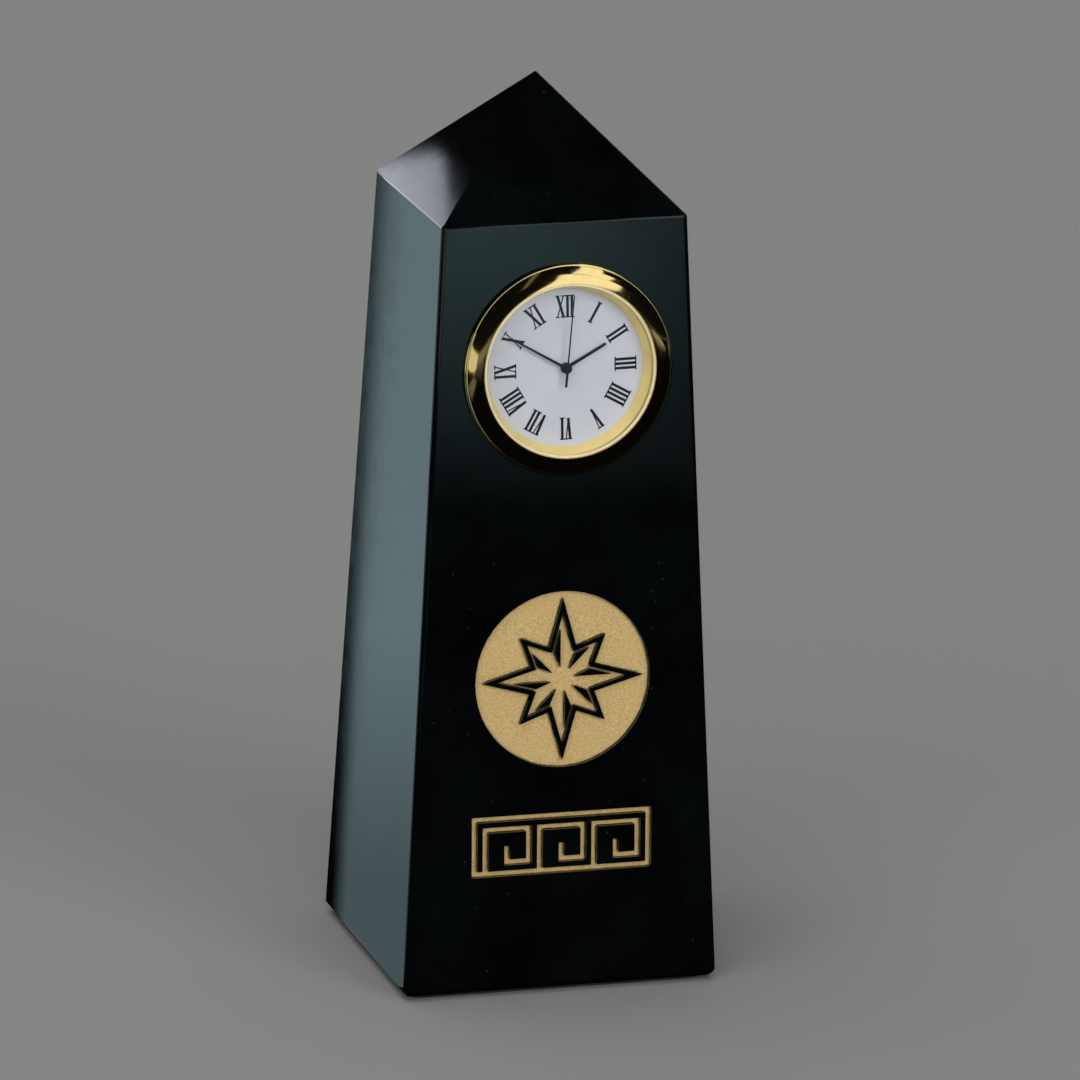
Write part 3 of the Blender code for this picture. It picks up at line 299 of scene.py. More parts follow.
def block(name, size, middle, turn=0.0):
    """A box of a given size about its middle, turned about +Z."""
    bpy.ops.object.select_all(action="DESELECT")
    bpy.ops.mesh.primitive_cube_add(size=1.0, location=middle)
    piece = added(name)
    piece.scale = size
    piece.rotation_euler = (0.0, 0.0, turn)
    return settle(piece)


def drill(name, steps, radius, depth, middle, finish, turn=0.0):
    """A round cutter that leaves a finish on what it cuts, turned about Y."""
    bpy.ops.object.select_all(action="DESELECT")
    bpy.ops.mesh.primitive_cylinder_add(
        vertices=steps, radius=radius, depth=depth, location=middle, rotation=(0.0, turn, 0.0)
    )
    cutter = settle(added(name))
    cutter.data.materials.append(finish)
    return cutter


def apply_modifier(piece, kind, **settings):
    """Add a modifier with its settings and apply it at once."""
    start(piece)
    change = piece.modifiers.new(kind.lower(), kind)
    for name, value in settings.items():
        setattr(change, name, value)
    bpy.ops.object.modifier_apply(modifier=change.name)


def soften(piece, width, steps=2, angle=30):
    """Round a piece's edges a little."""
    limit = math.radians(angle)
    apply_modifier(
        piece, "BEVEL", width=width, segments=steps, limit_method="ANGLE", angle_limit=limit
    )


def shade(piece, angle=30):
    """Shade a piece smooth across edges flatter than an angle in degrees."""
    start(piece)
    bpy.ops.object.shade_smooth_by_angle(angle=math.radians(angle))


def join_pieces(name, pieces):
    """Join pieces into one with the given name."""
    start(pieces[0])
    for piece in pieces:
        piece.select_set(True)
    bpy.ops.object.join()
    return added(name)


def close_mesh(piece):
    """Merge doubled points and point all faces outwards."""
    start(piece)
    bpy.ops.object.mode_set(mode="EDIT")
    bpy.ops.mesh.select_all(action="SELECT")
    bpy.ops.mesh.remove_doubles(threshold=MERGE)
    bpy.ops.mesh.normals_make_consistent(inside=False)
    stop_editing()


def draw_out(radius, height, next_radius, next_height):
    """Extrude the selected ring to a new height, and resize it or close it on the axis."""
    bpy.ops.mesh.extrude_region_move(
        TRANSFORM_OT_translate={"value": (0.0, 0.0, next_height - height)}
    )
    if next_radius > MERGE:
        factor = next_radius / radius
        bpy.ops.transform.resize(
            value=(factor, factor, 1.0), center_override=(0.0, 0.0, next_height)
        )
    else:
        bpy.ops.mesh.merge(type="CENTER")


def turned(name, profile, steps=ROUND):
    """Turn a piece about +Z: a circle that is drawn out and resized along a profile."""
    radius, height = profile[0]
    bpy.ops.object.select_all(action="DESELECT")
    if radius > MERGE:
        bpy.ops.mesh.primitive_circle_add(
            vertices=steps, radius=radius, location=(0.0, 0.0, height)
        )
        piece = settle(added(name))
        bpy.ops.object.mode_set(mode="EDIT")
    else:
        radius, next_height = profile[1]
        bpy.ops.mesh.primitive_circle_add(
            vertices=steps, radius=radius, fill_type="TRIFAN", location=(0.0, 0.0, next_height)
        )
        piece = settle(added(name))
        pick_points(piece, lambda point: point.xy.length < MERGE)
        bpy.ops.transform.translate(value=(0.0, 0.0, height - next_height))
        stop_editing()
        pick_points(piece, lambda point: point.xy.length > MERGE)
        height = next_height
        profile = profile[1:]
    for next_radius, next_height in profile[1:]:
        draw_out(radius, height, next_radius, next_height)
        radius, height = next_radius, next_height
    if radius > MERGE:
        draw_out(radius, height, *profile[0])
    stop_editing()
    close_mesh(piece)
    return piece


def arc(middle, across, up, first, last, steps):
    """Points of an elliptical arc between two angles in degrees, as radius and height."""
    points = []
    for step in range(steps + 1):
        angle = math.radians(first + (last - first) * step / steps)
        points.append((middle[0] + across * math.cos(angle), middle[1] + up * math.sin(angle)))
    return points


def seat(piece, turn=0.0):
    """Turn a piece about the clock's centre line and seat it in the stone face."""
    piece.matrix_world = Matrix.Translation(FACE_POINT) @ FACE_TURN @ Matrix.Rotation(turn, 4, "Z")
    return settle(piece)


def finish_piece(piece, body, slot, *materials, stands_for=()):
    """Give a piece its materials, its body and the parts that it stands for."""
    piece.data.materials.clear()
    for material in materials:
        piece.data.materials.append(material)
    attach(piece, body)
    if stands_for:
        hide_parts(*stands_for)


def add_node(tree, kind, values=None, links=None, **settings):
    """Add a shader node with its settings, input values and input links."""
    made = tree.nodes.new(kind)
    for name, value in settings.items():
        setattr(made, name, value)
    for name, value in (values or {}).items():
        made.inputs[name].default_value = value
    for name, source in (links or {}).items():
        tree.links.new(source, made.inputs[name])
    return made


def new_group(name, inputs, outputs):
    """A node group with float inputs and their values, and float outputs."""
    tree = bpy.data.node_groups.new(name, "ShaderNodeTree")
    for label, value in inputs.items():
        socket = tree.interface.new_socket(label, in_out="INPUT", socket_type="NodeSocketFloat")
        socket.default_value = value
    for label in outputs:
        tree.interface.new_socket(label, in_out="OUTPUT", socket_type="NodeSocketFloat")
    return tree, tree.nodes.new("NodeGroupInput"), tree.nodes.new("NodeGroupOutput")


def mottle_group():
    """Soft uneven patches from 0 to 1."""
    tree, entry, leave = new_group("mottle", {"Scale": 500.0, "Contrast": 2.0}, ["Mask"])
    place = add_node(tree, "ShaderNodeTexCoord")
    noise = add_node(
        tree,
        "ShaderNodeTexNoise",
        {"Detail": 6.0, "Roughness": 0.6},
        {"Vector": place.outputs["Object"], "Scale": entry.outputs["Scale"]},
    )
    centred = add_node(
        tree, "ShaderNodeMath", {1: 0.5}, {0: noise.outputs["Fac"]}, operation="SUBTRACT"
    )
    spread = add_node(
        tree,
        "ShaderNodeMath",
        links={0: centred.outputs[0], 1: entry.outputs["Contrast"]},
        operation="MULTIPLY",
    )
    shifted = add_node(
        tree, "ShaderNodeMath", {1: 0.5}, {0: spread.outputs[0]}, operation="ADD", use_clamp=True
    )
    tree.links.new(shifted.outputs[0], leave.inputs["Mask"])
    return tree


def scratch_group():
    """Fine hairline scratches in several directions: 1 on a line and 0 off it."""
    tree, entry, leave = new_group("hairlines", {"Scale": 300.0, "Amount": 0.5}, ["Mask"])
    place = add_node(tree, "ShaderNodeTexCoord")
    total = None
    for turn in (20.0, 75.0, 130.0):
        turned_place = add_node(
            tree,
            "ShaderNodeMapping",
            {
                "Rotation": (math.radians(turn), math.radians(turn), math.radians(2 * turn)),
                "Scale": (1.0, 0.03, 1.0),
            },
            {"Vector": place.outputs["Object"]},
        )
        noise = add_node(
            tree,
            "ShaderNodeTexNoise",
            {"Detail": 2.0, "Roughness": 0.4},
            {"Vector": turned_place.outputs["Vector"], "Scale": entry.outputs["Scale"]},
        )
        line = add_node(
            tree,
            "ShaderNodeMapRange",
            {"From Min": 0.62, "From Max": 0.7},
            {"Value": noise.outputs["Fac"]},
        )
        if total is None:
            total = line.outputs["Result"]
        else:
            total = add_node(
                tree,
                "ShaderNodeMath",
                links={0: total, 1: line.outputs["Result"]},
                operation="MAXIMUM",
            ).outputs[0]
    scaled = add_node(
        tree, "ShaderNodeMath", links={0: total, 1: entry.outputs["Amount"]}, operation="MULTIPLY"
    )
    tree.links.new(scaled.outputs[0], leave.inputs["Mask"])
    return tree


def grain_group():
    """Fine even grain, for a bump."""
    tree, entry, leave = new_group("grain", {"Scale": 5000.0, "Coarse Share": 0.4}, ["Height"])
    place = add_node(tree, "ShaderNodeTexCoord")
    fine = add_node(
        tree,
        "ShaderNodeTexNoise",
        {"Detail": 3.0, "Roughness": 0.7},
        {"Vector": place.outputs["Object"], "Scale": entry.outputs["Scale"]},
    )
    wide_scale = add_node(
        tree, "ShaderNodeMath", {1: 0.2}, {0: entry.outputs["Scale"]}, operation="MULTIPLY"
    )
    wide = add_node(
        tree,
        "ShaderNodeTexNoise",
        {"Detail": 2.0},
        {"Vector": place.outputs["Object"], "Scale": wide_scale.outputs[0]},
    )
    both = add_node(
        tree,
        "ShaderNodeMix",
        links={
            0: entry.outputs["Coarse Share"],
            2: fine.outputs["Fac"],
            3: wide.outputs["Fac"],
        },
        data_type="FLOAT",
    )
    tree.links.new(both.outputs[0], leave.inputs["Height"])
    return tree


def add_group(tree, group, values):
    """Add a node group with its input values."""
    made = tree.nodes.new("ShaderNodeGroup")
    made.node_tree = group
    for name, value in values.items():
        made.inputs[name].default_value = value
    return made


MOTTLE = mottle_group()
HAIRLINES = scratch_group()
GRAIN = grain_group()


def blank_material(name, values):
    """A material with its Principled shader's even values set, its node tree and the shader."""
    made = bpy.data.materials.new(name)
    made.use_nodes = True
    shader = made.node_tree.nodes["Principled BSDF"]
    for label, value in values.items():
        shader.inputs[label].default_value = value
    return made, made.node_tree, shader


def mixed_colour(tree, mask, first, second):
    """A colour that goes from the first to the second with a mask."""
    ends = {6: (*first, 1.0), 7: (*second, 1.0)}
    return add_node(tree, "ShaderNodeMix", ends, {0: mask}, data_type="RGBA").outputs[2]


def ranged(tree, mask, low, high):
    """A value that goes from low to high with a mask."""
    ends = {"To Min": low, "To Max": high}
    return add_node(tree, "ShaderNodeMapRange", ends, {"Value": mask}).outputs["Result"]


def grained(tree, shader, scale, height, coarse=0.4):
    """A bump of fine grain on a shader."""
    grain = add_group(tree, GRAIN, {"Scale": scale, "Coarse Share": coarse})
    bump = add_node(
        tree,
        "ShaderNodeBump",
        {"Strength": 1.0, "Distance": height},
        {"Height": grain.outputs["Height"]},
    )
    tree.links.new(bump.outputs["Normal"], shader.inputs["Normal"])


def surface(
    name, first, second, smooth, rough, metallic=0.0, patch=500.0, grain=5000.0, height=0.000002,
    scratch=0.0, **values
):
    """A finish with uneven patches of two colours, a roughness range, hairlines and grain."""
    made, tree, shader = blank_material(name, {"Metallic": metallic, **values})
    patches = add_group(tree, MOTTLE, {"Scale": patch, "Contrast": 2.4})
    worn = patches.outputs["Mask"]
    tree.links.new(mixed_colour(tree, worn, first, second), shader.inputs["Base Color"])
    if scratch:
        lines = add_group(tree, HAIRLINES, {"Scale": 900.0, "Amount": scratch})
        worn = add_node(
            tree,
            "ShaderNodeMath",
            links={0: worn, 1: lines.outputs["Mask"]},
            operation="ADD",
            use_clamp=True,
        ).outputs[0]
    tree.links.new(ranged(tree, worn, smooth, rough), shader.inputs["Roughness"])
    grained(tree, shader, grain, height)
    return made


def stone_material():
    """Polished black marble: dark clouds, a few pale specks and faint polishing lines."""
    made, tree, shader = blank_material("polished_black_marble", {"IOR": 1.5})
    clouds = add_group(tree, MOTTLE, {"Scale": 70.0, "Contrast": 2.6})
    dark = mixed_colour(
        tree, clouds.outputs["Mask"], (0.0004, 0.0006, 0.0007), (0.002, 0.003, 0.0033)
    )
    place = add_node(tree, "ShaderNodeTexCoord")
    specks = add_node(
        tree,
        "ShaderNodeTexVoronoi",
        {"Scale": 420.0, "Randomness": 1.0},
        {"Vector": place.outputs["Object"]},
    )
    speck = add_node(
        tree,
        "ShaderNodeMapRange",
        {"From Min": 0.1, "From Max": 0.02, "To Min": 0.0, "To Max": 0.35},
        {"Value": specks.outputs["Distance"]},
    )
    rare = add_group(tree, MOTTLE, {"Scale": 160.0, "Contrast": 8.0})
    shown = add_node(
        tree,
        "ShaderNodeMath",
        links={0: speck.outputs["Result"], 1: rare.outputs["Mask"]},
        operation="MULTIPLY",
    )
    colour = add_node(
        tree,
        "ShaderNodeMix",
        {7: (0.05, 0.06, 0.062, 1.0)},
        {0: shown.outputs[0], 6: dark},
        data_type="RGBA",
    )
    tree.links.new(colour.outputs[2], shader.inputs["Base Color"])
    lines = add_group(tree, HAIRLINES, {"Scale": 700.0, "Amount": 0.1})
    haze = add_group(tree, MOTTLE, {"Scale": 260.0, "Contrast": 1.6})
    worn = add_node(
        tree,
        "ShaderNodeMath",
        links={0: haze.outputs["Mask"], 1: lines.outputs["Mask"]},
        operation="ADD",
        use_clamp=True,
    )
    tree.links.new(ranged(tree, worn.outputs[0], 0.035, 0.075), shader.inputs["Roughness"])
    grained(tree, shader, 900.0, 0.0000012, 0.6)
    return made


def glass_material():
    """Clear crystal that lets the lamps' light through to the dial."""
    made, tree, shader = blank_material(
        "clear_crystal",
        {
            "Base Color": (0.98, 0.99, 1.0, 1.0),
            "IOR": 1.33,
            "Transmission Weight": 1.0,
        },
    )
    haze = add_group(tree, MOTTLE, {"Scale": 300.0, "Contrast": 1.5})
    tree.links.new(ranged(tree, haze.outputs["Mask"], 0.0, 0.02), shader.inputs["Roughness"])
    paths = add_node(tree, "ShaderNodeLightPath")
    clear = add_node(tree, "ShaderNodeBsdfTransparent", {"Color": (0.96, 0.97, 0.98, 1.0)})
    soft = add_node(
        tree,
        "ShaderNodeMath",
        links={0: paths.outputs["Is Shadow Ray"], 1: paths.outputs["Is Diffuse Ray"]},
        operation="MAXIMUM",
    )
    both = add_node(
        tree,
        "ShaderNodeMixShader",
        links={0: soft.outputs[0], 1: shader.outputs["BSDF"], 2: clear.outputs["BSDF"]},
    )
    tree.links.new(both.outputs["Shader"], tree.nodes["Material Output"].inputs["Surface"])
    return made


STONE = stone_material()
DRILLED = surface(
    "drilled_stone", (0.03, 0.033, 0.034), (0.07, 0.074, 0.075), 0.6, 0.9, height=0.00003
)
GOLD_FILL = surface(
    "gold_paint", (0.88, 0.63, 0.265), (0.5, 0.35, 0.145), 0.4, 0.6, metallic=0.25,
    patch=3200.0, grain=5200.0, height=0.00003,
)
# The recess walls carry the filling's real gold paint, but paler and creamier than the filling: a painted
# highlight along the walls.
GOLD_WALL_PAINTED_HIGHLIGHT = surface(
    "gold_paint_wall_painted_highlight", (1.0, 0.84, 0.5), (1.0, 0.78, 0.42), 0.4, 0.55, height=0.000008
)
GOLD = surface(
    "polished_gold", (0.93, 0.75, 0.33), (0.88, 0.69, 0.28), 0.05, 0.1, metallic=1.0,
    height=0.0000003, scratch=0.5,
)
# The rim round the crystal: a real satin finish, but its paler cream colour is a painted highlight that keeps it
# bright all round.
SATIN_GOLD_PAINTED_HIGHLIGHT = surface(
    "satin_gold_painted_highlight", (1.0, 0.87, 0.58), (0.98, 0.84, 0.53), 0.26, 0.34, metallic=0.2,
    height=0.0000005,
)
GOLD_BRUSHED = surface(
    "brushed_gold", (1.0, 0.79, 0.31), (0.98, 0.76, 0.28), 0.38, 0.46, metallic=0.35,
    height=0.0000005,
)
GLASS = glass_material()
DIAL_WHITE = surface(
    "dial_lacquer", (0.6, 0.605, 0.66), (0.575, 0.58, 0.635), 0.4, 0.55, patch=250.0,
    grain=6000.0,
)
INK = surface(
    "hand_black", (0.004, 0.004, 0.005), (0.009, 0.009, 0.01), 0.35, 0.55,
    **{"Specular IOR Level": 0.12},
)
STEEL = surface(
    "nickel_steel", (0.62, 0.61, 0.58), (0.5, 0.49, 0.47), 0.22, 0.36, metallic=0.6, scratch=0.8
)
RUBBER = surface(
    "black_rubber", (0.018, 0.018, 0.018), (0.035, 0.035, 0.036), 0.6, 0.85, height=0.00002
)
FELT = surface(
    "black_felt", (0.012, 0.012, 0.013), (0.035, 0.035, 0.037), 0.9, 1.0, patch=900.0,
    grain=2500.0, height=0.0001,
)
NYLON = surface("amber_nylon", (0.26, 0.18, 0.08), (0.2, 0.14, 0.06), 0.4, 0.6, height=0.000005)
PLASTIC = surface(
    "white_plastic", (0.76, 0.76, 0.72), (0.68, 0.68, 0.64), 0.35, 0.55, height=0.000006
)
BRASS = surface(
    "movement_brass", (0.78, 0.6, 0.29), (0.66, 0.48, 0.2), 0.2, 0.38, metallic=0.6,
    scratch=0.7, height=0.000003,
)
MAGNET = surface(
    "sintered_magnet", (0.2, 0.2, 0.21), (0.12, 0.12, 0.13), 0.35, 0.6, metallic=0.8
)
COPPER = surface(
    "enamelled_copper", (0.62, 0.25, 0.1), (0.42, 0.14, 0.05), 0.25, 0.45, metallic=0.7,
    grain=9000.0, height=0.00002,
)
BOARD = surface("board_green", (0.02, 0.2, 0.07), (0.012, 0.12, 0.04), 0.3, 0.5, patch=1500.0)
EPOXY = surface(
    "black_epoxy", (0.012, 0.012, 0.012), (0.03, 0.03, 0.03), 0.2, 0.4, height=0.00001
)
SLOT_MATERIALS = {
    "black_marble": STONE,
    "felt": FELT,
    "gold_fill": GOLD_FILL,
    "gold_plate": GOLD,
    "crystal_glass": GLASS,
    "nylon": NYLON,
    "dial_white": DIAL_WHITE,
    "steel": STEEL,
    "black_rubber": RUBBER,
    "white_plastic": PLASTIC,
    "movement_brass": BRASS,
    "magnet": MAGNET,
    "copper": COPPER,
    "board_green": BOARD,
    "epoxy": EPOXY,
    "hand_black": INK,
}


def dress_kept_parts():
    """Parts that keep their own shape take the finish of their slot."""
    for part in frame["record"]["subparts"]:
        piece = NODES[part["node"]]
        piece.data.materials.clear()
        piece.data.materials.append(SLOT_MATERIALS[part["material_slot"]])
    # The crown is brushed, not polished.
    NODES["crown"].data.materials[0] = GOLD_BRUSHED


def merged_copy(node, name):
    """A copy of a part's mesh with its loose triangles merged."""
    piece = bpy.data.objects.new(name, NODES[node].data.copy())
    bpy.context.scene.collection.objects.link(piece)
    start(piece)
    bpy.ops.object.mode_set(mode="EDIT")
    bpy.ops.mesh.select_all(action="SELECT")
    bpy.ops.mesh.remove_doubles(threshold=MERGE)
    stop_editing()
    return piece


def face_depth(point):
    """How deep a point lies under the stone's front face."""
    return (FACE_POINT - point).dot(FACE_OUT)


def fill_floor(node):
    """How deep the lowest point of a filling lies under the face."""
    return max(face_depth(point.co) for point in NODES[node].data.vertices)


def carving_cutter(node):
    """A filling's shape, drawn out through the face and down to the floor of its recess."""
    cutter = merged_copy(node, node + "_cutter")
    pick_points(cutter, lambda point: face_depth(point) < FILL_MIDDLE_DEPTH)
    bpy.ops.transform.translate(value=FACE_OUT * PASS_THROUGH)
    stop_editing()
    pick_points(cutter, lambda point: face_depth(point) > FILL_MIDDLE_DEPTH)
    bpy.ops.transform.translate(value=FACE_OUT * (fill_floor(node) - CARVING_DEPTH))
    stop_editing()
    # The walls of the recess take the paler gold paint, a painted highlight.
    cutter.data.materials.clear()
    cutter.data.materials.append(GOLD_WALL_PAINTED_HIGHLIGHT)
    return cutter


def cut_away(piece, cutter):
    """Cut a shape out of a piece, whose new walls take the cutter's material."""
    apply_modifier(
        piece,
        "BOOLEAN",
        operation="DIFFERENCE",
        solver="EXACT",
        object=cutter,
        material_mode="TRANSFER",
    )
    bpy.data.objects.remove(cutter)


def shape_pillar():
    """A box drawn in towards its shoulder, with a pyramid on top and chamfered edges."""
    height = SHOULDER_HEIGHT - FOOT_HEIGHT
    middle = FOOT_HEIGHT + height / 2
    stone = block("obelisk", (BASE_WIDTH, BASE_DEPTH, height), (0.0, 0.0, middle))
    pick_points(stone, lambda point: point.z > middle)
    bpy.ops.transform.resize(
        value=(SHOULDER_WIDTH / BASE_WIDTH, SHOULDER_DEPTH / BASE_DEPTH, 1.0),
        center_override=(0.0, 0.0, SHOULDER_HEIGHT),
    )
    bpy.ops.mesh.poke()
    stop_editing()
    top = Vector((0.0, 0.0, SHOULDER_HEIGHT))
    pick_points(stone, lambda point: (point - top).length < ARRIS_CHAMFER)
    bpy.ops.transform.translate(value=(APEX_OFFSET_X, 0.0, TOTAL_HEIGHT - SHOULDER_HEIGHT))
    stop_editing()
    pick_edges(stone, lambda first, second: max(first.z, second.z) < middle)
    bpy.ops.mesh.bevel(offset=FOOT_CHAMFER, segments=1, affect="EDGES")
    stop_editing()
    pick_edges(
        stone, lambda first, second: min(first.z, second.z) < middle < max(first.z, second.z)
    )
    bpy.ops.mesh.bevel(offset=ARRIS_CHAMFER, segments=1, affect="EDGES")
    stop_editing()
    soften(stone, SOFT_EDGE, SOFT_EDGE_STEPS, SOFT_EDGE_ANGLE)
    return stone


def make_stone():
    """The pillar with its bore and carved recesses."""
    stone = shape_pillar()
    stone.data.materials.append(STONE)
    reach = BORE_DEPTH + PASS_THROUGH
    bore = drill(
        "bore_cutter", ROUND, BORE_RADIUS, reach, (0.0, 0.0, reach / 2 - BORE_DEPTH), DRILLED
    )
    cut_away(stone, seat(bore))
    for node, _ in FILLINGS:
        cut_away(stone, carving_cutter(node))
    shade(stone, STONE_SHADE_ANGLE)
    for face in stone.data.polygons:
        if face.area > FLAT_FACE_AREA or face.normal.dot(FACE_OUT) > FLAT_FACE_TURN:
            face.use_smooth = False
    finishes = list(stone.data.materials)
    finish_piece(stone, "stone", "black_marble", *finishes, stands_for=["marble_body"])


def make_fillings():
    """Sandblasted gold paint: each filling with an uneven, grainy surface."""
    grains = bpy.data.textures.new("sandblasted_grains", "CLOUDS")
    grains.noise_scale = FILL_GRAIN_SIZE
    grains.noise_depth = 2
    for node, name in FILLINGS:
        filling = merged_copy(node, name)
        apply_modifier(
            filling, "REMESH", mode="VOXEL", voxel_size=FILL_VOXEL, use_smooth_shade=True
        )
        apply_modifier(filling, "DISPLACE", texture=grains, strength=FILL_RELIEF, mid_level=0.5)
        finish_piece(filling, "stone", "gold_fill", GOLD_FILL, stands_for=[node])


def make_pad():
    """The felt pad, with rounded corners and a soft rim."""
    low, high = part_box("base_pad")
    size = high - low
    pad = block("felt_pad", size, (low + high) / 2)
    pick_edges(pad, lambda first, second: abs(first.z - second.z) > size.z / 2)
    bpy.ops.mesh.bevel(offset=PAD_CORNER, segments=PAD_CORNER_STEPS, affect="EDGES")
    stop_editing()
    soften(pad, PAD_EDGE)
    shade(pad)
    finish_piece(pad, "stone", "felt", FELT, stands_for=["base_pad"])


def full_arc(middle, across, up, steps):
    """Points of a dome that is fuller than an ellipse is flat: a long slope with rounded ends."""
    power = 2 / DOME_FULLNESS
    points = []
    for step in range(steps + 1):
        angle = math.pi / 2 * step / steps
        radius = middle[0] + across * math.cos(angle) ** power
        points.append((radius, middle[1] + up * math.sin(angle) ** power))
    return points


def make_bezel():
    """A domed gold ring with a thin flange, a satin rim round the crystal with a painted highlight, and a skirt.
    """
    edge = BEZEL_RADIUS - BEZEL_EDGE_ROUND
    flange = (BEZEL_EDGE_ROUND, BEZEL_EDGE_ROUND)
    profile = [
        (SKIRT_INNER, CASE_TOP + SEAT_GAP),
        (SKIRT_INNER, -SKIRT_DEPTH),
        (SKIRT_OUTER, -SKIRT_DEPTH),
        (SKIRT_OUTER, FLANGE_GAP),
    ]
    profile += arc((edge, FLANGE_GAP + BEZEL_EDGE_ROUND), *flange, -90, 0, BEZEL_EDGE_STEPS)
    profile += arc((edge, BEZEL_FLANGE - BEZEL_EDGE_ROUND), *flange, 0, 90, BEZEL_EDGE_STEPS)
    profile += full_arc(
        (DOME_CREST_RADIUS, BEZEL_FLANGE),
        DOME_OUTER - DOME_CREST_RADIUS,
        DOME_CREST - BEZEL_FLANGE,
        DOME_STEPS,
    )
    rim_edge = RIM_RADIUS + RIM_HALF + RIM_GROOVE
    profile.append((rim_edge, RIM_HEIGHT))
    profile += arc(
        (RIM_RADIUS, RIM_HEIGHT), RIM_HALF, RIM_TOP_HEIGHT - RIM_HEIGHT, 0, 180, RIM_STEPS
    )
    profile += [
        (LIP_RADIUS, LIP_BOTTOM),
        (LENS_POCKET_RADIUS, LIP_BOTTOM),
        (LENS_POCKET_RADIUS, CASE_TOP + SEAT_GAP),
    ]
    bezel = turned("gold_bezel", profile)
    shade(bezel, TURNED_SHADE_ANGLE)
    seat(bezel)
    finish_piece(bezel, "insert", "gold_plate", GOLD, SATIN_GOLD_PAINTED_HIGHLIGHT, stands_for=["bezel"])
    # The rim's faces take the satin gold with the painted highlight.
    for face in bezel.data.polygons:
        from_middle = face.center - FACE_POINT
        radius = (from_middle - FACE_OUT * from_middle.dot(FACE_OUT)).length
        face.material_index = 1 if radius < rim_edge else 0


def make_crystal():
    """A lens that rises a little towards its middle."""
    shoulder = CRYSTAL_RADIUS - CRYSTAL_SHOULDER
    profile = [(0.0, CRYSTAL_EDGE_TOP + CRYSTAL_RISE)]
    for step in range(1, CRYSTAL_STEPS + 1):
        share = step / CRYSTAL_STEPS
        profile.append((shoulder * share, CRYSTAL_EDGE_TOP + CRYSTAL_RISE * (1 - share**2)))
    profile += [
        (CRYSTAL_RADIUS, CRYSTAL_EDGE_TOP - CRYSTAL_EDGE_DROP),
        (CRYSTAL_RADIUS, CRYSTAL_BOTTOM),
        (0.0, CRYSTAL_BOTTOM),
    ]
    lens = turned("lens", profile)
    shade(lens, TURNED_SHADE_ANGLE)
    seat(lens)
    finish_piece(lens, "insert", "crystal_glass", GLASS, stands_for=["crystal"])


def make_reflector():
    """The gold cone between the crystal and the dial."""
    profile = [
        (REFLECTOR_OUTER, REFLECTOR_TOP),
        (REFLECTOR_OUTER, SEAT_GAP - DIAL_DEPTH),
        (DIAL_OPENING_RADIUS, SEAT_GAP - DIAL_DEPTH),
        (DIAL_OPENING_RADIUS, REFLECTOR_FOOT - DIAL_DEPTH),
    ]
    run = REFLECTOR_OUTER - REFLECTOR_RIM - DIAL_OPENING_RADIUS
    rise = REFLECTOR_TOP + DIAL_DEPTH
    for step in range(1, REFLECTOR_STEPS + 1):
        share = step / REFLECTOR_STEPS
        radius = DIAL_OPENING_RADIUS + run * share**REFLECTOR_CURVE
        profile.append((radius, rise * share - DIAL_DEPTH))
    reflector = turned("reflector", profile)
    shade(reflector, TURNED_SHADE_ANGLE)
    seat(reflector)
    finish_piece(reflector, "insert", "gold_plate", GOLD_BRUSHED, stands_for=["reflector_ring"])


def make_dial():
    """The white dial."""
    bottom = -DIAL_DEPTH - DIAL_THICKNESS
    profile = [
        (REFLECTOR_OUTER, -DIAL_DEPTH),
        (REFLECTOR_OUTER, bottom),
        (DIAL_HOLE, bottom),
        (DIAL_HOLE, -DIAL_DEPTH),
    ]
    dial = turned("white_dial", profile)
    shade(dial)
    seat(dial)
    finish_piece(dial, "insert", "dial_white", DIAL_WHITE, stands_for=["dial"])


def stroke(begin, end, width):
    """A flat printed stroke between two points of the dial."""
    run = Vector(end) - Vector(begin)
    middle = (Vector(begin) + Vector(end)) / 2
    return block(
        "stroke",
        (run.length, width, INK_THICKNESS),
        (*middle, INK_THICKNESS / 2 - DIAL_DEPTH),
        math.atan2(run.y, run.x),
    )


def letter_strokes(letter, left):
    """The strokes of one Roman letter, as its begin, end and width, and the letter's width."""
    low, high = NUMERAL_FOOT, NUMERAL_TOP
    if letter == "I":
        middle = left + STROKE_PITCH / 2
        return [((middle, low), (middle, high), STROKE)], STROKE_PITCH
    width = V_WIDTH if letter == "V" else X_WIDTH
    thick_x = left + STROKE / 2 + SERIF_REACH
    thin_x = left + width - HAIR - SERIF_REACH
    if letter == "V":
        foot = left + width / 2
        strokes = [((thick_x, high), (foot, low), STROKE), ((thin_x, high), (foot, low), HAIR)]
    else:
        strokes = [
            ((thick_x, high), (thin_x, low), STROKE),
            ((thin_x, high), (thick_x, low), HAIR),
        ]
    return strokes, width


def serif_spans(letter, left, width):
    """Where the serifs at one end of a letter begin and end."""
    if letter == "I":
        return [(left - SERIF_REACH / 2, left + width + SERIF_REACH / 2)]
    thick_end = left + STROKE + 2 * SERIF_REACH
    return [(left, thick_end), (left + width - THIN_SERIF, left + width)]


def make_numeral(text, angle):
    """A radial numeral whose foot points at the centre."""
    widths = [letter_strokes(letter, 0.0)[1] for letter in text]
    left = -sum(widths) / 2
    marks = []
    for letter, width in zip(text, widths):
        marks += [stroke(*line) for line in letter_strokes(letter, left)[0]]
        levels = (NUMERAL_TOP,) if letter == "V" else (NUMERAL_TOP, NUMERAL_FOOT)
        for level in levels:
            for begin, end in serif_spans(letter, left, width):
                marks.append(stroke((begin, level), (end, level), SERIF))
        left += width
    numeral = join_pieces("numeral_" + text, marks)
    numeral.rotation_euler = (0.0, 0.0, angle)
    return settle(numeral)


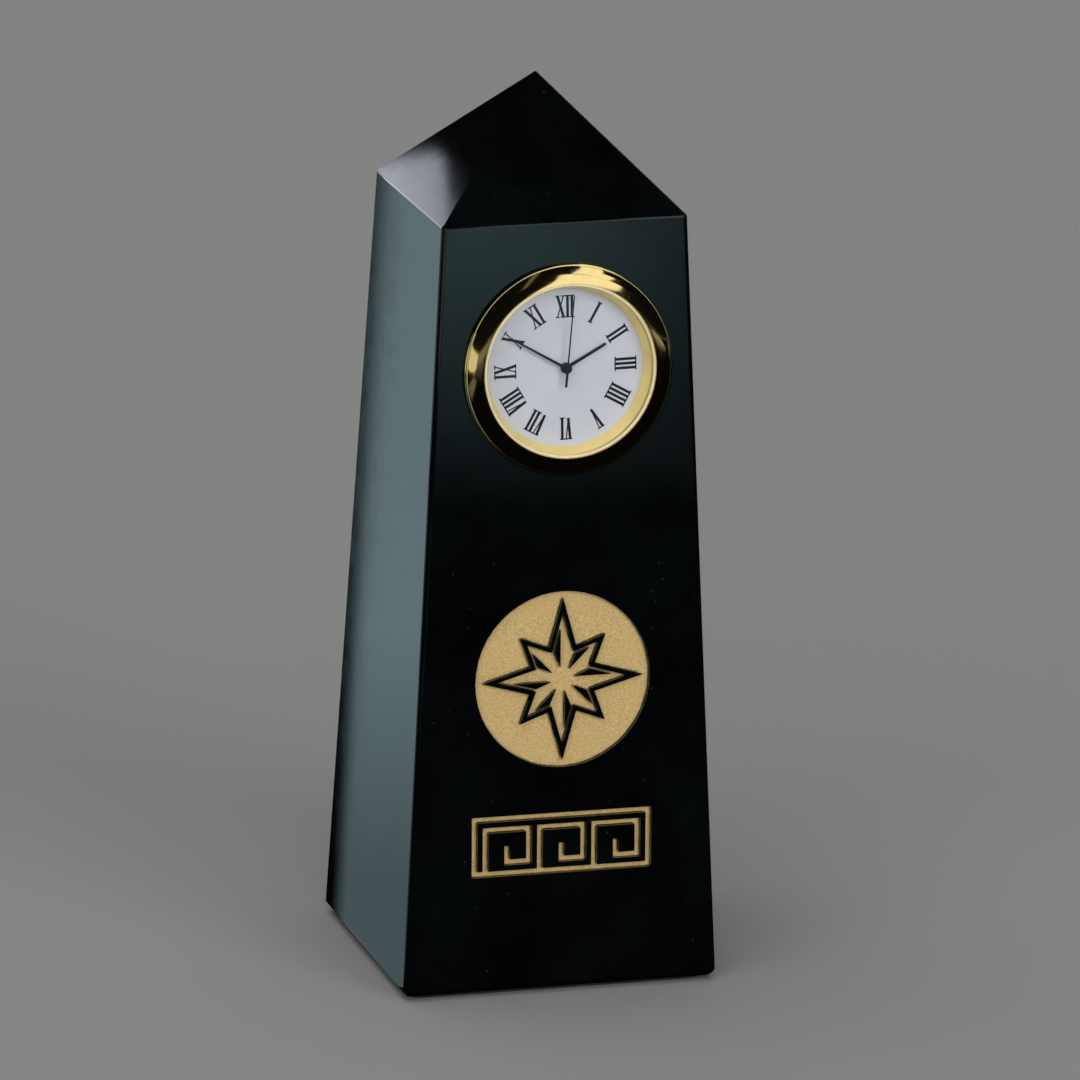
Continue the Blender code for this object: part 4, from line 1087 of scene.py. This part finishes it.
def make_numerals():
    """The twelve numerals, printed as one piece."""
    printed = []
    for hour, text in enumerate(NUMERALS):
        printed.append(make_numeral(text, -hour * math.pi / 6))
    numerals = join_pieces("roman_numerals", printed)
    seat(numerals, NUMERAL_TURN)
    finish_piece(numerals, "insert", "hand_black", INK)


def round_disc(name, radius, top, bottom, rise):
    """A disc about +Z whose upper edge is rounded over a given height."""
    profile = [(0.0, top)]
    profile += arc((radius - HUB_ROUND, top - rise), HUB_ROUND, rise, 90, 0, HUB_ROUND_STEPS)
    profile += [(radius, bottom), (0.0, bottom)]
    return turned(name, profile, steps=FINE_ROUND)


def make_hand(name, node, body, shape, angle, tail=None):
    """A slim tapered hand on a round hub, with softened edges. One with a tail has a cap too."""
    length, root_half, tip_half, hub, depth = shape
    height = -depth - HAND_THICKNESS / 2
    blade = block(name, (2 * root_half, length, HAND_THICKNESS), (0.0, length / 2, height))
    pick_points(blade, lambda point: point.y > length / 2)
    bpy.ops.transform.resize(
        value=(tip_half / root_half, 1.0, 1.0), center_override=(0.0, length, height)
    )
    stop_editing()
    parts = [blade]
    if tail:
        reach, half = tail
        size = (2 * half, reach, HAND_THICKNESS)
        parts.append(block(name + "_tail", size, (0.0, -reach / 2, height)))
    for part in parts:
        soften(part, min(tip_half, HAND_THICKNESS) * HAND_EDGE_SHARE)
    hub_bottom = height - HAND_THICKNESS / 2
    parts.append(round_disc(name + "_hub", hub, height + HUB_RISE, hub_bottom, HUB_RISE))
    if tail:
        cap, rise = SECOND_CAP
        parts.append(round_disc(name + "_cap", cap, height + rise, height, CAP_ROUND))
    hand = join_pieces(name, parts)
    shade(hand, HAND_SHADE_ANGLE)
    seat(hand, angle)
    finish_piece(hand, body, "hand_black", INK, stands_for=[node])


def make_hands():
    """The three hands at about ten to two."""
    make_hand("hour_stick", "hour_hand", "hours", HOUR_HAND, HOUR_ANGLE)
    make_hand("minute_stick", "minute_hand", "minutes", MINUTE_HAND, MINUTE_ANGLE)
    make_hand("second_stick", "second_hand", "seconds", SECOND_HAND, SECOND_ANGLE, SECOND_TAIL)


def make_case():
    """The clock's steel case, with the crown's hole in its wall."""
    inner = CASE_RADIUS - CASE_WALL
    profile = [
        (CASE_RADIUS, CASE_TOP),
        (CASE_RADIUS, CASE_BOTTOM + CASE_EDGE),
        (CASE_RADIUS - CASE_EDGE, CASE_BOTTOM),
        (inner, CASE_BOTTOM),
        (inner, CASE_TOP),
    ]
    case = turned("case_shell", profile)
    place = (CASE_RADIUS, 0.0, -STEM_DEPTH)
    depth = CASE_WALL * 4
    hole = drill(
        "crown_hole_cutter", FINE_ROUND, CROWN_HOLE_RADIUS, depth, place, STEEL, math.pi / 2
    )
    case.data.materials.append(STEEL)
    cut_away(case, hole)
    shade(case)
    seat(case)
    finish_piece(case, "insert", "steel", STEEL, stands_for=["case_ring"])


def make_band():
    """The ribbed rubber band round the case."""
    bottom = BAND_TOP - BAND_HEIGHT
    groove = BAND_OUTER - BAND_RIB_DEPTH
    rib = BAND_HEIGHT / BAND_RIBS
    profile = [(BAND_INNER, BAND_TOP)]
    for number in range(BAND_RIBS):
        top = BAND_TOP - number * rib
        profile.append((groove, top))
        profile += arc(
            (groove + BAND_RIB_ROUND, top - rib / 2),
            BAND_RIB_DEPTH - BAND_RIB_ROUND,
            rib * BAND_RIB_SHARE,
            BAND_RIB_REACH,
            -BAND_RIB_REACH,
            BAND_RIB_STEPS,
        )
    profile += [(groove, bottom), (BAND_INNER, bottom)]
    band = turned("rubber_band", profile)
    shade(band, BAND_SHADE_ANGLE)
    seat(band)
    finish_piece(band, "insert", "black_rubber", RUBBER, stands_for=["grip_band"])


def make_back():
    """The snap-on back, with the lip that holds it in the case and a pressed ring."""
    rim = CASE_RADIUS - COVER_GAP
    lip = CASE_RADIUS - CASE_WALL - COVER_GAP
    top = CASE_BOTTOM - SEAT_GAP
    profile = [
        (0.0, top),
        (lip - COVER_LIP_WALL, top),
        (lip - COVER_LIP_WALL, CASE_BOTTOM + COVER_LIP_HEIGHT),
        (lip, CASE_BOTTOM + COVER_LIP_HEIGHT),
        (lip, top),
        (rim, top),
    ]
    middle = (rim - COVER_EDGE_ROUND, COVER_BOTTOM + COVER_EDGE_ROUND)
    profile += arc(middle, COVER_EDGE_ROUND, COVER_EDGE_ROUND, 0, -90, COVER_EDGE_STEPS)
    profile += [(rim - inset, COVER_BOTTOM + depth) for inset, depth in COVER_RING]
    profile.append((0.0, COVER_BOTTOM))
    cover = turned("snap_back", profile)
    shade(cover)
    seat(cover)
    finish_piece(cover, "insert", "steel", STEEL, stands_for=["back_cover"])


def glow_paint(name, colour, near, far, start_at, end_at, soft):
    """A glow that goes from near to far along the card's own Y, with soft edges at its sides."""
    made = bpy.data.materials.new(name)
    made.use_nodes = True
    tree = made.node_tree
    tree.nodes.remove(tree.nodes["Principled BSDF"])
    place = add_node(tree, "ShaderNodeTexCoord")
    split = add_node(tree, "ShaderNodeSeparateXYZ", links={0: place.outputs["Object"]})
    level = add_node(
        tree,
        "ShaderNodeMapRange",
        {"From Min": start_at, "From Max": end_at, "To Min": near, "To Max": far},
        {"Value": split.outputs["Y"]},
    ).outputs["Result"]
    for axis, first, last in soft:
        edge = add_node(
            tree,
            "ShaderNodeMapRange",
            {"From Min": first, "From Max": last},
            {"Value": split.outputs[axis]},
            interpolation_type="SMOOTHSTEP",
        )
        level = add_node(
            tree,
            "ShaderNodeMath",
            links={0: level, 1: edge.outputs["Result"]},
            operation="MULTIPLY",
        ).outputs[0]
    glow = add_node(tree, "ShaderNodeEmission", {"Color": (*colour, 1.0)}, {"Strength": level})
    tree.links.new(glow.outputs[0], tree.nodes["Material Output"].inputs["Surface"])
    return made


def card(name, place, across, along, size, colour, near, far, ramp=(-0.5, 0.5), soft=()):
    """A studio card that only shows in reflections. Its own X runs across and its own Y along.

    Its glow goes from near to far over the ramp, a range of its own Y from -0.5 to 0.5. Each
    soft edge is an axis, where the glow is nothing and where it is full.
    """
    bpy.ops.object.select_all(action="DESELECT")
    bpy.ops.mesh.primitive_plane_add(size=1.0)
    made = added(name)
    x_axis = Vector(across).normalized()
    out = x_axis.cross(Vector(along)).normalized()
    turn = Matrix((x_axis, out.cross(x_axis), out)).transposed().to_4x4()
    scale = Matrix.Diagonal((*size, 1.0, 1.0))
    made.matrix_world = Matrix.Translation(place) @ turn @ scale
    made.data.materials.append(glow_paint(name, colour, near, far, *ramp, soft))
    made.visible_camera = False
    made.visible_diffuse = False
    made.visible_shadow = False


def even_card(name, place, across, along, size, colour, level, soft=()):
    """A studio card with the same glow all along."""
    card(name, place, across, along, size, colour, level, level, soft=soft)


def make_room():
    """The plain floor and the dark room round it."""
    bpy.ops.object.select_all(action="DESELECT")
    bpy.ops.mesh.primitive_plane_add(size=FLOOR_SIZE)
    floor = added("studio_floor")
    paint = blank_material("floor_grey", {"Base Color": FLOOR_GREY, "Roughness": 0.7})[0]
    floor.data.materials.append(paint)
    world = bpy.data.worlds.new("dark_studio")
    bpy.context.scene.world = world
    world.use_nodes = True
    background = world.node_tree.nodes["Background"]
    background.inputs["Color"].default_value = ROOM_TINT
    background.inputs["Strength"].default_value = ROOM_LEVEL


def make_lamps():
    """Very soft lamps that light the clock and the floor evenly."""
    for name, towards, strength, angle in LAMPS:
        lamp = bpy.data.lights.new(name, "SUN")
        lamp.energy = strength
        lamp.angle = math.radians(angle)
        made = bpy.data.objects.new(name, lamp)
        bpy.context.scene.collection.objects.link(made)
        made.rotation_euler = Vector(towards).normalized().to_track_quat("Z", "Y").to_euler()
        made.visible_glossy = False


def make_front_cards():
    """What the front face mirrors: pale at the top of the stone, black from below the clock."""
    even_card(
        "table_card", (0.0, 0.0, 0.0006), (1.0, 0.0, 0.0), (0.0, 1.0, 0.0), (12.0, 12.0), WHITE,
        0.002,
    )
    run = Vector((0.2647, -0.9643, 0.0))
    across = Vector((-0.9643, -0.2647, 0.0))
    foot = Vector((0.094, -0.44, 0.0008))
    card(
        "front_card", foot + run * 0.22, across, run, (0.4, 0.44), (0.58, 0.95, 1.0), 0.0, 1.02,
        soft=[("X", -0.25, -0.025), ("X", 0.3, 0.12)],
    )
    card(
        "far_front_card", foot + run * 2.4, across, run, (0.6, 4.0), WHITE, 0.0, 1.0,
        ramp=(-0.5, -0.46), soft=[("X", -0.45, -0.15), ("X", 0.45, 0.15)],
    )


def make_far_cards():
    """What the sides that the photograph doesn't show mirror, far out on the floor.

    Each has its place, the direction away from the clock, size, colour and level. They lie at
    heights a little apart, so that none shares another's plane.
    """
    toward_back = (-0.2725, 0.962, 0.0)
    far_cards = (
        ("right", (2.1, 0.0, 0.0007), (1.0, 0.0, 0.0), (0.3, 3.0), PALE_TEAL, 0.25),
        ("back", (0.83, 2.0, 0.00072), toward_back, (2.6, 3.2), TEAL, 0.55),
        ("left", (-2.15, 0.0, 0.00074), (-1.0, 0.0, 0.0), (3.0, 3.0), WHITE, 0.2),
        ("front_left", (-0.985, -2.0, 0.00076), (0.0, -1.0, 0.0), (2.03, 3.0), WHITE, 0.2),
        ("front_right", (1.75, -1.75, 0.00078), (1.0, -1.0, 0.0), (0.9, 3.0), WHITE, 0.3),
    )
    for side, place, away, size, colour, level in far_cards:
        card(
            side + "_floor_card", place, Vector(away).cross(SKY), away, size, colour, 0.0, level,
            ramp=(-0.5, -0.2), soft=[("X", -0.5, -0.46), ("X", 0.5, 0.46)],
        )


def make_left_card():
    """What the left face mirrors along its whole height, but for a narrow band at its far edge."""
    edge = Vector((-0.2725, 0.962, 0.0))
    side = Vector((-0.962, -0.2725, 0.0))
    width, length = 0.5, 1.6
    corner = Vector((-0.03, 0.0317, 0.0009)) - edge * 0.05
    middle = corner + edge * length / 2 + side * width / 2
    card(
        "left_face_card", middle, side, edge, (width, length), TEAL, 0.35, 0.7,
        ramp=(-0.46, -0.35), soft=[("X", -0.5, -0.4935)],
    )


def make_roof_card():
    """What the roof's left facet mirrors, with its top edge."""
    rise = Vector((0.15, 0.0, 0.989))
    level = Vector((0.989, 0.0, -0.15))
    middle = Vector((-0.0815, 0.3, 0.2242)) - level * 0.1 - rise * 0.065
    card(
        "roof_card", middle, level, rise, (0.2, 0.13), (0.83, 0.89, 1.0), 2.75, 1.6,
        ramp=(0.37, 0.5), soft=[("Y", 0.5, 0.482), ("X", 0.5, 0.487)],
    )


def make_bezel_top_cards():
    """What the bezel mirrors from half past ten to one: three pale cards and a dim one."""
    middle = Vector((0.381, -0.14, 0.914))
    level = Vector((0.921, 0.062, -0.375))
    rise = Vector((-0.004, 0.988, 0.154))
    pale = 1.05
    even_card(
        "key_card", FACE_POINT + middle * 0.5 + level * 0.065 - rise * 0.075, level, rise,
        (0.13, 0.85), WARM_WHITE, pale,
    )
    even_card(
        "key_foot_card", FACE_POINT + middle * 0.501 + level * 0.105 - rise * 0.375, level, rise,
        (0.21, 0.25), WARM_WHITE, pale,
    )
    even_card(
        "dim_key_card", FACE_POINT + middle * 0.5 - level * 0.3 - rise * 0.25, level, rise,
        (0.1, 1.1), (1.0, 0.95, 0.85), 0.12, soft=[("X", -0.5, -0.1), ("X", 0.5, 0.1)],
    )
    even_card(
        "long_key_card", FACE_POINT + middle * 0.5 + level * 0.25 - rise * 1.4,
        level + rise * 0.15, rise - level * 0.15, (0.36, 1.8), WARM_WHITE, pale,
    )


def make_bezel_left_cards():
    """What the bezel mirrors at nine: two upright cards and a dim one that lies on the floor.

    The gap between the upright ones keeps the front left chamfer dark.
    """
    pale = 0.68
    even_card(
        "front_left_card", (-0.35, -0.493, 0.0775), (0.0, 1.0, 0.13), SKY, (0.7, 0.11), CREAM, pale
    )
    even_card(
        "back_left_card", (-0.35, 0.0565, 0.135), (0.0, 1.0, 0.0), SKY, (0.287, 0.19), CREAM, pale
    )
    even_card(
        "low_left_card", (-0.244, -0.35, 0.0007), (1.0, 0.0, 0.0), (0.0, 1.0, 0.0), (0.126, 0.44),
        (1.0, 0.97, 0.95), 0.13, soft=[("X", 0.5, 0.3), ("Y", 0.5, 0.4)],
    )


def make_studio():
    """The floor, the room, the lamps and the cards."""
    make_room()
    make_lamps()
    make_front_cards()
    make_far_cards()
    make_left_card()
    make_roof_card()
    make_bezel_top_cards()
    make_bezel_left_cards()


def make_camera():
    """The photograph's view: a long lens, from the left and a little above."""
    back = Vector(
        (
            math.sin(CAMERA_AZIMUTH) * math.cos(CAMERA_ELEVATION),
            -math.cos(CAMERA_AZIMUTH) * math.cos(CAMERA_ELEVATION),
            math.sin(CAMERA_ELEVATION),
        )
    )
    right = SKY.cross(back).normalized()
    up = back.cross(right)
    rolled_right = right * math.cos(CAMERA_ROLL) + up * math.sin(CAMERA_ROLL)
    rolled_up = up * math.cos(CAMERA_ROLL) - right * math.sin(CAMERA_ROLL)
    lens = bpy.data.cameras.new("photo_camera")
    lens.sensor_width = CAMERA_SENSOR
    lens.sensor_height = CAMERA_SENSOR
    lens.sensor_fit = "HORIZONTAL"
    lens.lens = CAMERA_LENS
    lens.clip_start, lens.clip_end = CAMERA_REACH
    camera = bpy.data.objects.new("photo_camera", lens)
    bpy.context.scene.collection.objects.link(camera)
    turn = Matrix((rolled_right, rolled_up, back)).transposed().to_4x4()
    camera.matrix_world = Matrix.Translation(CAMERA_TARGET + back * CAMERA_DISTANCE) @ turn
    bpy.context.scene.camera = camera


dress_kept_parts()
make_camera()
make_stone()
make_fillings()
make_pad()
make_bezel()
make_crystal()
make_reflector()
make_dial()
make_numerals()
make_hands()
make_case()
make_band()
make_back()
make_studio()

bpy.context.scene.view_settings.view_transform = "Standard"
